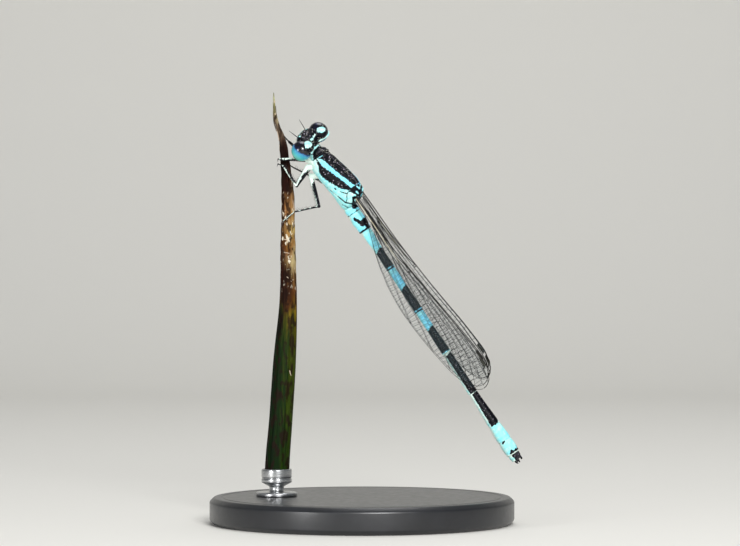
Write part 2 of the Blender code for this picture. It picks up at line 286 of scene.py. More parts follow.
def addNode(tree, kind, inputs=None, stops=(), **settings):
    # a node given as an input stands for its first live output; a colour may be a hex code
    made = tree.nodes.new(kind)
    for name, value in settings.items():
        setattr(made, name, value)
    live = [socket for socket in made.inputs if socket.enabled]
    for key, value in (inputs or {}).items():
        socket = live[key] if isinstance(key, int) else next(one for one in live if one.name == key)
        if isinstance(value, bpy.types.Node):
            value = next(one for one in value.outputs if one.enabled)
        if isinstance(value, bpy.types.NodeSocket):
            tree.links.new(value, socket)
        else:
            coded = isinstance(value, str) and value.startswith("#")
            socket.default_value = linearColour(value) if coded else value
    cells = made.color_ramp.elements if stops else ()
    for place, code in stops[len(cells):]:
        cells.new(place)
    for cell, (place, code) in zip(cells, stops):
        cell.position = place
        cell.color = linearColour(code)
    return made


def newFinish(name, **values):
    made = bpy.data.materials.new(name)
    made.use_nodes = True
    shader = made.node_tree.nodes["Principled BSDF"]
    for key, value in values.items():
        shader.inputs[key.replace("_", " ")].default_value = value
    return made, made.node_tree, shader


def mottledFinish(name, size, stops, detail=2.0, **values):
    # a finish whose colour drifts between two tones, in patches about size millimetres across
    made, tree, shader = newFinish(name, **values)
    shade = addNode(tree, "ShaderNodeValToRGB", {0: grain(tree, size, detail)}, stops=stops)
    tree.links.new(shade.outputs[0], shader.inputs["Base Color"])
    return made, tree, shader


def grain(tree, size, detail=2.0, stretch=(1.0, 1.0, 1.0)):
    # noise on object coordinates, in lumps about size millimetres across
    place = addNode(tree, "ShaderNodeTexCoord").outputs["Object"]
    scaled = addNode(tree, "ShaderNodeMapping", {"Vector": place, "Scale": stretch})
    return addNode(tree, "ShaderNodeTexNoise",
                   {"Vector": scaled, "Scale": 1.0 / (size * mm), "Detail": detail})


# Helpers: Geometry Nodes

def newTree(name, **sockets):
    # a tree with named inputs, given with the kind of each, that takes geometry and gives geometry
    tree = bpy.data.node_groups.new(name, "GeometryNodeTree")
    for socket, kind in {"Geometry": "Geometry", **sockets}.items():
        tree.interface.new_socket(socket, in_out="INPUT", socket_type="NodeSocket" + kind)
    tree.interface.new_socket("Geometry", in_out="OUTPUT", socket_type="NodeSocketGeometry")
    return tree, addNode(tree, "NodeGroupInput").outputs


def endTree(tree, real, finish):
    # the end of every tree, after its instances are made real
    smoothed = addNode(tree, "GeometryNodeSetShadeSmooth", {0: real, "Shade Smooth": True})
    painted = addNode(tree, "GeometryNodeSetMaterial", {0: smoothed, "Material": finish})
    addNode(tree, "NodeGroupOutput", {0: painted})
    return tree


def grown(name, mesh, tree, values):
    # runs a tree on a mesh and hands back the plain mesh it makes
    seed = inScene(name + "Seed", mesh)
    modifier = seed.modifiers.new("grow", "NODES")
    modifier.node_group = tree
    for socket in tree.interface.items_tree:
        if socket.in_out == "INPUT" and socket.name in values:
            modifier[socket.identifier] = values[socket.name]
    seed.update_tag()
    bpy.context.view_layer.update()
    evaluated = seed.evaluated_get(bpy.context.evaluated_depsgraph_get())
    made = bpy.data.meshes.new_from_object(evaluated)
    seed.modifiers.remove(modifier)
    bpy.data.objects.remove(seed)
    made.name = name
    return made


# Cuticle: the shell of body, head and legs

shellLook = {
    "tones": ((0.0, "#24739E"), (0.3, "#5CCBFF"), (0.55, "#7CDCFC"), (0.8, "#98E5E6"),
              (1.0, "#DDF0E6")),
    "edge": 0.020,  # softness of a mark's edge
    "wander": 0.055,  # how far a mark's edge wanders
    "rootGlintSize": 0.20,  # spacing of the pale specks on the black: bristle roots, with painted glints on them
    "poreSize": 0.045,
    "poreDepth": 0.010,
}


def cuticleFinish():
    # Chitin with blue pigment under it: satin and a little waxy, the black smoother than the blue;
    # pale specks on the hairy black are bristle roots carrying painted glints
    made, tree, shader = newFinish("pigmentedChitin", IOR=1.5, Specular_IOR_Level=0.13)
    ink, pale, brown, hair = (
        addNode(tree, "ShaderNodeAttribute", attribute_name=name).outputs["Fac"]
        for name in ("ink", "tone", "brown", "hair"))
    wander = addNode(tree, "ShaderNodeMapRange",
                     {0: grain(tree, 0.16, 3.0), 1: 0.3, 2: 0.7, 3: -shellLook["wander"],
                      4: shellLook["wander"]})
    edge = addNode(tree, "ShaderNodeMath", {0: ink, 1: wander}, operation="ADD")
    mark = addNode(tree, "ShaderNodeMapRange",
                   {0: edge, 1: -shellLook["edge"], 2: shellLook["edge"]})
    mottle = addNode(tree, "ShaderNodeMapRange",
                     {0: grain(tree, 0.30, 3.0), 1: 0.3, 2: 0.7, 3: -0.10, 4: 0.10})
    tone = addNode(tree, "ShaderNodeMath", {0: pale, 1: mottle}, operation="ADD")
    blue = addNode(tree, "ShaderNodeValToRGB", {0: tone}, stops=shellLook["tones"])
    flecks = addNode(tree, "ShaderNodeMapRange", {0: grain(tree, 0.10, 2.0), 1: 0.60, 2: 0.74})
    dark = addNode(tree, "ShaderNodeMix", {0: flecks, 1: "#04050B", 2: "#191826"}, data_type="RGBA")
    # grey-violet over the black: its own tint on head and claws, a painted sheen on the tenth
    # segment and a painted highlight on the thorax's midline
    dark = addNode(tree, "ShaderNodeMix", {0: brown, 1: dark, 2: "#807C88"}, data_type="RGBA")
    place = addNode(tree, "ShaderNodeTexCoord").outputs["Object"]
    # pale specks on the hairy black: bristle roots, with painted glints of light on them
    glintCells = addNode(tree, "ShaderNodeTexVoronoi",
                   {"Vector": place, "Scale": 1.0 / (shellLook["rootGlintSize"] * mm)})
    some = addNode(tree, "ShaderNodeSeparateColor", {0: glintCells.outputs["Color"]})
    rootGlints = addNode(tree, "ShaderNodeMapRange",
                     {0: glintCells.outputs["Distance"], 1: 0.26, 2: 0.15, 4: 0.85})
    few = addNode(tree, "ShaderNodeMapRange", {0: some.outputs[0], 1: 0.30, 2: 0.38})
    rootGlints = addNode(tree, "ShaderNodeMath", {0: rootGlints, 1: few}, operation="MULTIPLY")
    hairy = addNode(tree, "ShaderNodeMapRange", {0: hair, 2: 0.5, 3: 0.35})
    rootGlints = addNode(tree, "ShaderNodeMath", {0: rootGlints, 1: hairy}, operation="MULTIPLY")
    dark = addNode(tree, "ShaderNodeMix", {0: rootGlints, 1: dark, 2: "#BDB4C4"}, data_type="RGBA")
    colour = addNode(tree, "ShaderNodeMix", {0: mark, 1: blue, 2: dark}, data_type="RGBA")
    tree.links.new(colour.outputs[2], shader.inputs["Base Color"])
    worn = addNode(tree, "ShaderNodeMapRange",
                   {0: grain(tree, 0.12), 1: 0.3, 2: 0.7, 3: -0.07, 4: 0.07})
    rough = addNode(tree, "ShaderNodeMapRange", {0: mark, 3: 0.52, 4: 0.38})
    rough = addNode(tree, "ShaderNodeMath", {0: rough, 1: worn}, operation="ADD")
    tree.links.new(rough.outputs[0], shader.inputs["Roughness"])
    pores = addNode(tree, "ShaderNodeTexVoronoi",
                    {"Vector": place, "Scale": 1.0 / (shellLook["poreSize"] * mm)})
    lumps = addNode(tree, "ShaderNodeMath", {0: pores, 1: grain(tree, 0.22, 4.0)}, operation="ADD")
    rise = addNode(tree, "ShaderNodeBump",
                   {"Height": lumps, "Strength": 0.6, "Distance": shellLook["poreDepth"] * mm})
    tree.links.new(rise.outputs[0], shader.inputs["Normal"])
    return made


def shellSkin(rings, ink, tone, brown=0.0, hair=0.0):
    # a skin with the marks that the cuticle reads: black where ink is above 0, how pale the blue
    # is, how far the black turns grey-violet (a painted sheen on the tenth segment and a painted
    # highlight along the thorax's midline, its own tint elsewhere), and how hairy the place is
    return ringSkin(rings, ink=ink, tone=tone, brown=brown, hair=hair)


cuticle = cuticleFinish()


# Abdomen

abdomen = {
    "starts": (-0.52, 0.15, 1.84, 5.63, 9.80, 13.95, 17.77, 20.95, 22.44, 23.75, 24.33),
    "radii": ((0.57, 0.60, 0.59), (0.56, 0.61, 0.53), (0.45, 0.345, 0.37), (0.335, 0.335, 0.365),
              (0.335, 0.34, 0.375), (0.345, 0.36, 0.39), (0.365, 0.41, 0.475), (0.50, 0.56, 0.585),
              (0.575, 0.61, 0.57), (0.50, 0.49, 0.43)),
    "tones": (0.70, 0.68, 0.68, 0.58, 0.60, 0.56, 0.55, 0.80, 0.82, 0.62),
    "sides": 72,
    "rowStep": 0.055,
    "collar": 0.020,
    "neck": 0.055,
    "tuck": 0.10,  # how far a segment's front slips under the one before
    "claspers": (  # root, middle and tip on the left, thickness: upper hook, lower hook
        ((0.22, -0.10, 0.22), (0.27, 0.08, 0.25), (0.21, 0.17, 0.19), 0.090),
        ((0.14, -0.10, -0.10), (0.18, 0.12, -0.10), (0.10, 0.34, -0.02), 0.075)),
}


def abdomenInk(number, x, y, length, side):
    # black marks: x is the arc from the back's midline, y runs along the segment, and side is in
    # degrees from the midline
    away = np.abs(x)
    end = band(y, length - 0.13, length + 0.05) - 0.3 * (number == 5)
    if number == 1:
        patch = np.minimum(0.33 - away, band(y, -0.20, 0.40))
        return np.maximum.reduce((patch, band(y, length - 0.07, length), band(y, -0.30, -0.02)))
    if number == 2:
        # a goblet: two arms, a bowl and a stalk
        arm = np.maximum(stroke(away, y, (0.72, 0.36), (0.66, 0.52), 0.10),
                         stroke(away, y, (0.64, 0.56), (0.40, 1.02), 0.16))
        bowl = stroke(away, y, (0.0, 1.02), (0.36, 1.04), 0.25)
        stalk = np.minimum(0.22 - away, band(y, 1.1, length))
        return np.maximum.reduce((arm, bowl, stalk, end + 0.02))
    if number in (3, 4, 5):
        tip, spread = {3: (1.80, 0.60), 4: (1.74, 0.35), 5: (1.52, 0.40)}[number]
        patch = np.minimum(y - tip - spread * np.minimum(away, 0.55) ** 1.3,
                           (122.0 - side) * 0.0062)
        return np.maximum(np.minimum(patch, length - 0.20 - y), end)
    if number in (6, 7):
        rear = length + 0.05 - (number - 6) * (0.06 + 0.26 * smooth(0.10, -0.45, x))
        front = 0.02 + 0.07 * smooth(28.0, 44.0, side)
        reach = (80.0, 69.0)[number - 6] + 9.0 * (number - 6) * y / length
        return 2.0 * np.minimum(band(y, front, rear), (reach - side) * 0.0066)
    if number == 8:
        return band(y, -0.30, -0.01)
    if number == 9:
        crown = y - length + 0.20 + 0.22 * bump(away, 0.40, 0.14) + 0.10 * bump(away, 0.0, 0.10)
        crown = np.minimum.reduce((crown, 0.66 - away, length - 0.080 - y))
        dash = stroke(away, y, (0.46, 0.03), (0.72, 0.13), 0.070)
        return np.maximum.reduce((2.0 * crown, 2.0 * dash, band(y, -0.30, -0.04)))
    return np.minimum((62.0 - side) * 0.008, band(y, 0.0, length + 0.1))


def makeAbdomen():
    angle = fullTurn(abdomen["sides"])
    for number in range(1, 11):
        start, end = abdomen["starts"][number - 1:number + 1]
        front, middle, rear = abdomen["radii"][number - 1]
        tuck = abdomen["tuck"] if number > 1 else 0.0
        length = end - start
        y = np.linspace(-tuck, length, max(18, int((length + tuck) / abdomen["rowStep"])))
        shape = ((0.0, front), (0.15, front * 0.9 + middle * 0.1), (0.5, middle),
                 (0.86, rear * 0.93 + middle * 0.07), (1.0, rear))
        radius = through(shape, np.clip(y / length, 0.0, 1.0))[:, 0]
        # a raised ring and a groove at the rear edge, and a neck in front
        radius = radius + abdomen["collar"] * bump(y, length - 0.05, 0.07)
        radius = radius - 0.012 * bump(y, length - 0.17, 0.06)
        radius = radius - abdomen["neck"] * (1.0 - smooth(-0.02, 0.10, y))
        radius = radius - 0.05 * smooth(length - 0.02, length, y)
        turn, along = np.meshgrid(angle, y)
        signed = signedTurn(turn)
        side = np.degrees(np.abs(signed))
        pinch = 1.0 - 0.06 * bump(side, 180.0, 16.0) + 0.015 * bump(side, 150.0, 14.0)
        wide = radius[:, None] * pinch
        tall = 1.03 if number < 8 else 0.96
        points = np.stack((wide * np.sin(turn), along + start, wide * tall * np.cos(turn)), -1)
        ink = abdomenInk(number, signed * radius[:, None], along, length, side)
        if 2 < number < 8:  # a black line underneath
            ink = np.maximum(ink, 0.05 - (180.0 - side) * 0.008)
        tone = abdomen["tones"][number - 1] + 0.34 * smooth(70.0, 150.0, side)
        pale = 0.95 * (number in (6, 7, 10)) + (number == 5) * smooth(-0.20, -0.16, along - length)
        tone = np.maximum(tone, pale)
        tone = tone + 0.12 * (number < 8) * bump(along, length * 0.05, 0.16)
        tone = tone - 0.10 * bump(along, length - 0.28, 0.15)
        tone = tone + 0.3 * (number == 9) * smooth(-0.11, -0.08, along - length)
        hair = smooth(100.0, 135.0, side) * (number < 4) * (1.0 - smooth(3.0, 6.0, along + start))
        # a grey-violet patch down the middle of the tenth segment: a painted sheen
        brown = 0.12 * (number == 10) * bump(signed, 0.1, 0.5)
        skin = shellSkin(inBody(points), ink, tone, brown, hair)
        addPiece(f"abdomenShell{number}", skin, cuticle, (f"abdomen_s{number}",))


def makeClaspers():
    skins = []
    share = np.linspace(0.0, 1.0, 16)
    for side in (-1.0, 1.0):
        for start, middle, end, thick in abdomen["claspers"]:
            bend = through([(0.0, *start), (0.5, *middle), (1.0, *end)], share)
            bend = bend * (side, 1.0, 1.0) + (0.0, abdomen["starts"][-1], 0.0)
            radii = thick * np.sqrt(np.clip(1.0 - np.linspace(-0.55, 0.98, 16) ** 2, 0.03, 1.0))
            skins.append(shellSkin(tubeRings(inBody(bend), radii, 16), 0.2, 0.2, 0.024))
    addPiece("claspers", mergeSkins(skins), cuticle, ("claspers",))


makeAbdomen()
makeClaspers()
print("abdomen: ten shells and claspers")


# Thorax

thorax = {
    "sections": (  # back, centre up, half width, half height, keel
        (-5.32, 0.38, 0.60, 0.74, 0.0), (-5.28, 0.38, 0.72, 0.88, 0.0),
        (-5.16, 0.34, 0.78, 0.95, 0.04), (-5.02, 0.31, 0.83, 1.01, 0.08),
        (-4.70, 0.31, 0.97, 1.14, 0.10), (-4.20, 0.40, 1.05, 1.19, 0.12),
        (-3.60, 0.56, 1.10, 1.26, 0.14), (-2.80, 0.75, 1.13, 1.34, 0.15),
        (-2.00, 0.91, 1.11, 1.38, 0.15), (-1.35, 0.86, 1.00, 1.40, 0.12),
        (-0.92, 0.74, 0.91, 1.31, 0.08), (-0.66, 0.53, 0.81, 1.08, 0.05),
        (-0.52, 0.40, 0.70, 0.86, 0.0), (-0.42, 0.32, 0.52, 0.62, 0.0)),
    "sides": 160,
    "rows": 120,
    "stripes": (  # back, then the rolled heights where the upper black, blue and lower black end
        (-5.32, -0.05, -0.14, -0.16), (-5.05, 0.15, -0.10, -0.22), (-4.80, 0.29, -0.09, -0.30),
        (-4.50, 0.40, -0.07, -0.38), (-4.22, 0.45, 0.02, -0.54), (-3.94, 0.54, 0.13, -0.57),
        (-3.40, 0.68, 0.34, -0.42), (-2.89, 0.84, 0.52, -0.23), (-2.44, 1.01, 0.67, 0.01),
        (-2.02, 1.12, 0.81, 0.24), (-1.72, 1.22, 0.91, 0.54), (-1.50, 1.30, 1.00, 0.68),
        (-0.40, 1.65, 1.25, 1.0)),
    "sutures": (  # back and rolled height at each end, half width of the black line
        ((-1.93, -0.02), (-1.47, 0.36), 0.036), ((-1.47, 0.36), (-1.53, 0.66), 0.045),
        ((-3.51, -0.93), (-1.68, -0.37), 0.012), ((-1.72, -0.38), (-0.93, -0.13), 0.045),
        ((-0.93, -0.13), (-0.50, 0.35), 0.055), ((-1.45, 0.35), (-1.06, 0.09), 0.028),
        ((-1.06, 0.09), (-0.93, -0.13), 0.035), ((-2.39, -0.24), (-2.28, -0.20), 0.058),
        ((-0.95, -0.46), (-0.50, -0.18), 0.028), ((-0.62, 0.40), (-0.46, 0.24), 0.065)),
    "plates": (  # pale plates round the wing roots, in the same way
        ((-1.50, 1.80), (-1.42, 1.81), 0.07), ((-1.25, 1.60), (-1.22, 1.66), 0.13),
        ((-0.97, 1.54), (-0.95, 1.58), 0.085), ((-1.52, 1.36), (-1.30, 1.46), 0.06),
        ((-1.15, 1.10), (-1.02, 1.14), 0.09), ((-1.07, 0.80), (-1.00, 0.86), 0.08),
        ((-1.36, 0.56), (-1.12, 0.68), 0.13), ((-1.77, 1.20), (-1.66, 1.28), 0.035),
        ((-1.03, 0.40), (-0.74, 0.26), 0.15), ((-0.78, 0.98), (-0.72, 1.00), 0.05),
        ((-0.70, 0.64), (-0.62, 0.60), 0.05)),
    "edging": ((-5.21, -0.10), (-5.19, 0.40), 0.018),
}


def bodyGrid(part):
    # a part's rows along the body and its turns, how far each point is from the back's midline in
    # degrees, how far back it is, and the part's sections read at each row
    sections = part["sections"]
    back = np.linspace(sections[0][0], sections[-1][0], part["rows"])
    turn = fullTurn(part["sides"])
    side = np.degrees(np.abs(signedTurn(turn)))[None, :] + np.zeros((len(back), 1))
    return back, turn, side, back[:, None] + 0.0 * side, through(sections, back).T[:, :, None]


def makeThorax():
    back, turn, side, u, (up, width, height, keel) = bodyGrid(thorax)
    first, second, third = through(thorax["stripes"], back).T[:, :, None]
    narrow = 1.0 - keel * np.cos(turn)
    high = rolledHeight(width * narrow * np.sin(turn), up + height * np.cos(turn))
    lines = np.maximum.reduce([stroke(u, high, *line) for line in thorax["sutures"]])
    plates = np.maximum.reduce([stroke(u, high, *plate) for plate in thorax["plates"]])
    # raised midline keel, grooves along the sutures, a sunken roof between the wing roots, lumps
    # at the roots and over the legs
    middle = 0.6 * second + 0.4 * third
    relief = 0.045 * bump(side, 0.0, 2.2) * smooth(-5.1, -4.8, u) * (1.0 - smooth(-1.7, -1.4, u))
    relief = relief - 0.022 * bump(high, middle, 0.04) * (1.0 - smooth(-1.6, -1.3, u))
    relief = relief - 0.028 * smooth(-0.06, 0.03, lines)
    relief = relief - 0.10 * smooth(-1.55, -1.30, u) * (1.0 - smooth(14.0, 26.0, side))
    relief = relief + 0.08 * smooth(-0.08, 0.06, plates)
    relief = relief + 0.05 * bump(side, 150.0, 18.0) * bump(u, -4.3, 0.5)
    points = np.stack(((width * narrow + relief) * np.sin(turn), u,
                       up + (height + relief) * np.cos(turn)), -1)
    roof = np.minimum(high - first, -1.66 - u)
    shoulder = np.minimum.reduce((second - high, high - third, -1.58 - u))
    hinge = np.minimum(u + 1.66, high - 0.70 + 0.38 * (u + 1.5))
    collar = np.minimum(-5.16 - u, high + 0.20)
    ink = 0.01 + np.maximum.reduce((roof, shoulder, hinge, collar))
    ink = np.minimum.reduce((ink, -2.0 * plates, -stroke(u, high, *thorax["edging"])))
    ink = np.maximum(ink, 3.0 * lines)
    tone = 0.62 + 0.20 * smooth(0.35, -0.05, high - third) + 0.14 * smooth(115.0, 145.0, side)
    tone = tone + 0.14 * bump(u, -5.0, 0.5)
    tone = tone - 0.08 * smooth(-2.4, -1.6, u) * smooth(0.0, 0.3, high - second)
    tone = np.maximum(tone, 0.86 * smooth(-0.05, 0.05, plates))
    # a grey-violet line along the raised midline keel: a painted highlight
    brown = 0.35 * bump(side, 0.0, 1.6) * (1.0 - smooth(-1.7, -1.5, u))
    hair = 0.9 * (1.0 - smooth(60.0, 95.0, side)) * (1.0 - smooth(-1.6, -1.3, u))
    hair = hair + 0.7 * smooth(115.0, 150.0, side) + 0.06
    skin = shellSkin(inBody(points), ink, tone, brown, hair)
    return addPiece("thoraxShell", skin, cuticle, ("synthorax",))


prothorax = {
    "sections": (  # back, centre up, half width, half height
        (-6.30, 0.36, 0.20, 0.20), (-6.22, 0.35, 0.40, 0.40), (-6.14, 0.34, 0.51, 0.50),
        (-6.02, 0.33, 0.56, 0.55), (-5.93, 0.32, 0.53, 0.53), (-5.82, 0.31, 0.61, 0.63),
        (-5.62, 0.33, 0.72, 0.80), (-5.50, 0.35, 0.75, 0.84), (-5.40, 0.37, 0.80, 0.93),
        (-5.28, 0.38, 0.79, 0.92), (-5.20, 0.38, 0.70, 0.84), (-5.14, 0.36, 0.46, 0.60)),
    "collar": (((-6.17, 0.74), (-5.97, 0.10), 0.060), ((-5.97, 0.10), (-5.80, -0.20), 0.032)),
    "blotches": (((-5.64, -0.34), (-5.48, -0.46), 0.150),),
    "sides": 96,
    "rows": 64,
}


def makeProthorax():
    back, turn, side, u, (up, width, height) = bodyGrid(prothorax)
    relief = 0.06 * bump(u, -5.66, 0.14) * bump(side, 32.0, 20.0)
    relief = relief - 0.04 * bump(side, 0.0, 7.0) * bump(u, -5.66, 0.2)
    points = np.stack(((width + relief) * np.sin(turn), u,
                       up + (height + relief) * np.cos(turn)), -1)
    high = rolledHeight(width * np.sin(turn), up + height * np.cos(turn))
    plate = np.minimum(band(u, -6.40, -5.0), (112.0 - side) * 0.0128)
    pale = [stroke(u, high, *line) for line in prothorax["collar"] + prothorax["blotches"]]
    ink = np.minimum(plate, -np.maximum.reduce(pale))
    tone = 0.88 + 0.1 * smooth(90.0, 140.0, side)
    brown = 0.15 * bump(u, -5.62, 0.1) * bump(side, 30.0, 16.0)
    skin = shellSkin(inBody(points), ink, tone, brown, 0.7)
    return addPiece("prothoraxShell", skin, cuticle, ("prothorax",))


thoraxShell = makeThorax()
prothoraxShell = makeProthorax()
print("thorax: two shells with stripes and sutures")


# Head

head = {
    "sections": (  # left, centre back, centre up, half depth, half height
        (0.0, -0.25, -0.10, 0.83, 0.78), (0.37, -0.22, -0.09, 0.82, 0.77),
        (0.78, -0.08, -0.02, 0.69, 0.71), (1.12, 0.03, 0.0, 0.54, 0.58),
        (1.34, 0.06, 0.0, 0.34, 0.38), (1.42, 0.06, 0.0, 0.18, 0.20)),
    "sides": 96,
    "rows": 81,
    "eyeSize": (0.80, 0.83, 0.87),
    "eyeOut": 1.30,
    "eyeCap": (0.435, -0.370, -0.821, -0.330),  # the plane beyond which an eye is blue
    "lobe": ((1.00, 0.42, 0.36), (0.57, 0.53, 0.48)),
    "spot": (1.05, 0.47, 0.40, 0.36),  # left, back and half sizes of the pale spot on each lobe
    "bar": ((-0.42, 0.27), (0.27, 0.27), 0.050),
    "feelerBase": (0.52, -0.64, 0.085),
    "rim": ((0.34, 0.62, 0.02), (0.70, 0.72, 0.0), (1.10, 0.84, -0.03), (1.48, 0.83, -0.05),
            (1.77, 0.67, -0.05), (1.94, 0.42, -0.03)),
    "rimEnds": (0.44, 1.0),  # shares of it on the left and right
    "face": (  # place, half sizes, ink and tone: two plates, upper lip, cheeks and chin
        ((0.0, -0.80, -0.30), (0.56, 0.30, 0.20), -0.2, 0.75),
        ((0.0, -0.90, -0.50), (0.50, 0.28, 0.17), 0.2, 0.6),
        ((0.0, -0.92, -0.66), (0.46, 0.26, 0.18), -0.2, 0.72),
        ((0.36, -0.70, -0.74), (0.20, 0.24, 0.20), -0.2, 0.9),
        ((-0.36, -0.70, -0.74), (0.20, 0.24, 0.20), -0.2, 0.9),
        ((0.0, -0.50, -0.82), (0.44, 0.36, 0.14), -0.2, 0.95)),
    "ocelli": ((0.0, -0.52, 0.65), (0.23, -0.27, 0.69), (-0.23, -0.27, 0.69)),
    "ocellusSize": (0.065, 0.065, 0.05),
    "lensSize": 0.055,  # real lenses are about half of this
    "eyeTones": (  # from the dark side over the edge of the cap into the blue
        (0.0, "#02020C"), (0.04, "#0C1038"), (0.11, "#2C5A8E"), (0.19, "#3E94BC"),
        (0.36, "#44AFC2"), (0.62, "#55C6BA"), (1.0, "#5CA886")),
}
bothSides = {"left": 1.0, "right": -1.0}


def headSkin(rings, pale):
    # black above with pale spots, bar and antenna sockets, pale below; above 0 pale makes it all so
    x, y, z = np.moveaxis(rings, -1, 0)
    over = z > -0.05
    left, back, wide, deep = head["spot"]
    spots = 0.42 * (1.0 - np.hypot((np.abs(x) - left) / wide, (y - back) / deep))
    out, fore, size = head["feelerBase"]
    sockets = size - np.hypot(np.abs(x) - out, y - fore)
    browLine = 0.035 - np.abs(y + 0.88)
    top = np.maximum.reduce((spots, stroke(x, y, *head["bar"]), sockets, browLine))
    light = np.maximum(np.where(over, top, -0.3), pale)
    ink = np.where(z < -0.45, -0.2, -light)
    hair = 1.0 * (1.0 - smooth(-0.5, -0.2, y)) * (z > -0.3)
    hair = hair + 0.35 * over * (np.abs(x) < 0.55) + 0.2 * (y > 0.35)
    brown = 0.03 * bump(x, 0.0, 0.45) * bump(y, -0.35, 0.38) * over
    return shellSkin(inHead(rings), ink, 0.88, brown, hair)


def makeHead():
    mirrored = [(-left, *rest) for left, *rest in reversed(head["sections"][1:])]
    sections = (*mirrored, *head["sections"])
    left = np.linspace(sections[0][0], sections[-1][0], head["rows"])
    centreBack, centreUp, depth, height = through(sections, left).T[:, :, None]
    turn = fullTurn(head["sides"])
    x = left[:, None] + 0.0 * turn
    a = np.degrees(turn)[None, :] + 0.0 * x  # from the back, over the top
    # a bulging brow with a crease in it, and a dent at the back of the crown
    relief = 0.06 * bump(x, 0.0, 0.34) * bump(a, 108.0, 16.0)
    relief = relief - 0.06 * bump(x, 0.0, 0.16) * bump(a, 36.0, 20.0)
    relief = relief + 0.15 * bump(a, 128.0, 26.0) * (1.0 - smooth(0.55, 1.0, np.abs(x)))
    relief = relief - 0.05 * bump(x, 0.0, 0.5) * bump(a, 128.0, 8.0)
    y = centreBack + (depth + relief) * np.cos(turn)
    z = centreUp + (height + relief) * np.sin(turn)
    skins = [headSkin(np.stack((x, y, z), -1), -0.3)]
    share = np.linspace(0.0, 1.0, 30)
    for side, rimEnd in zip(bothSides.values(), head["rimEnds"]):
        place, size = head["lobe"]
        lobe, _ = ellipsoidRings(np.multiply(place, (side, 1.0, 1.0)), size, 34, 56)
        knots = [(at, side * out, back, up)
                 for at, (out, back, up) in zip(np.linspace(0.0, 1.0, 6), head["rim"])]
        radii = 0.080 * np.sqrt(np.clip(1.0 - (1.95 * share - 0.95) ** 4, 0.05, 1.0))
        rim = tubeRings(through(knots, share * rimEnd), radii, 16)
        skins += [headSkin(lobe, -0.3), headSkin(rim, 0.2)]
    return addPiece("headShell", mergeSkins(skins), cuticle, ("head",))


def makeFace():
    skins = []
    for place, size, ink, tone in head["face"]:
        rings, _ = ellipsoidRings(place, size, 22, 40)
        skins.append(shellSkin(inHead(rings), ink, tone, 0.0, 0.5))
    return addPiece("face", mergeSkins(skins), cuticle, ("face",))


def eyeFinish():
    # Compound eye: thousands of clear lenses over dark and blue pigment, wet-looking, with tight
    # highlights
    made, tree, shader = newFinish("compoundEyeLenses", Roughness=0.26, IOR=1.5,
                                   Specular_IOR_Level=0.3, Coat_Weight=0.6, Coat_Roughness=0.08)
    drift = addNode(tree, "ShaderNodeMapRange",
                    {0: grain(tree, 0.30, 2.0), 1: 0.3, 2: 0.7, 3: -0.05, 4: 0.05})
    depth = addNode(tree, "ShaderNodeAttribute", attribute_name="depth").outputs["Fac"]
    depth = addNode(tree, "ShaderNodeMath", {0: depth, 1: drift}, operation="ADD")
    blue = addNode(tree, "ShaderNodeValToRGB", {0: depth}, stops=head["eyeTones"])
    place = addNode(tree, "ShaderNodeTexCoord").outputs["Object"]
    lenses = addNode(tree, "ShaderNodeTexVoronoi",
                     {"Vector": place, "Scale": 1.0 / (head["lensSize"] * mm), "Randomness": 0.35})
    shade = addNode(tree, "ShaderNodeMapRange", {0: lenses, 1: 0.1, 2: 0.7, 3: 1.0, 4: 0.80})
    dotted = addNode(tree, "ShaderNodeMix", {0: 1.0, 1: blue, 2: shade}, data_type="RGBA",
                     blend_type="MULTIPLY")
    tree.links.new(dotted.outputs[2], shader.inputs["Base Color"])
    dome = addNode(tree, "ShaderNodeBump",
                   {"Height": lenses, "Strength": 0.35, "Distance": 0.012 * mm}, invert=True)
    tree.links.new(dome.outputs[0], shader.inputs["Normal"])
    return made


def makeEyes():
    lenses = eyeFinish()
    for name, side in bothSides.items():
        place = (side * head["eyeOut"], 0.0, 0.0)
        rings, directions = ellipsoidRings(place, head["eyeSize"], 56, 96)
        depth = (directions * (side, 1.0, 1.0)) @ np.array(head["eyeCap"][:3]) - head["eyeCap"][3]
        skin = ringSkin(inHead(rings), depth=np.clip(depth / 1.3, 0.0, 1.0))
        addPiece(f"eye_{name}", skin, lenses, (f"eye_{name}",))


def makeOcelli():
    # Ocelli: three glassy beads, amber brown
    glass, _, _ = mottledFinish("ocelliLens", 0.1, ((0.3, "#16110F"), (0.7, "#5C5148")),
                                Roughness=0.08, IOR=1.5, Coat_Weight=1.0)
    beads = [ellipsoidRings(place, head["ocellusSize"], 16, 24, 2)[0] for place in head["ocelli"]]
    skins = [ringSkin(inHead(rings)) for rings in beads]
    addPiece("ocelli", mergeSkins(skins), glass)


feelers = {  # share of the length, then the place and the thickness there
    "spots": ((0.0, 0.50, -0.58, 0.36), (0.08, 0.54, -0.68, 0.47), (0.20, 0.58, -0.82, 0.60),
              (0.55, 0.68, -1.14, 0.90), (1.0, 0.78, -1.46, 1.19)),
    "thick": ((0.0, 0.05, 0.10, 0.16, 0.22, 0.6, 1.0),
              (0.05, 0.095, 0.060, 0.080, 0.035, 0.026, 0.012)),
    "paleRoot": 0.12,
}


def makeFeelers():
    share = np.linspace(0.0, 1.0, 60)
    thick = np.interp(share, *feelers["thick"])
    for name, side in bothSides.items():
        path = through(feelers["spots"], share) * (side, 1.0, 1.0)
        ink = np.where(share < feelers["paleRoot"], -0.2, 0.2)[:, None]
        skin = shellSkin(tubeRings(inHead(path), thick, 14), ink, 0.8)
        addPiece(f"antenna_{name}", skin, cuticle, (f"antenna_{name}",))


headShell = makeHead()
faceShell = makeFace()
makeEyes()
makeOcelli()
makeFeelers()
print("head: capsule, face, eyes, ocelli and antennae")


# Wings

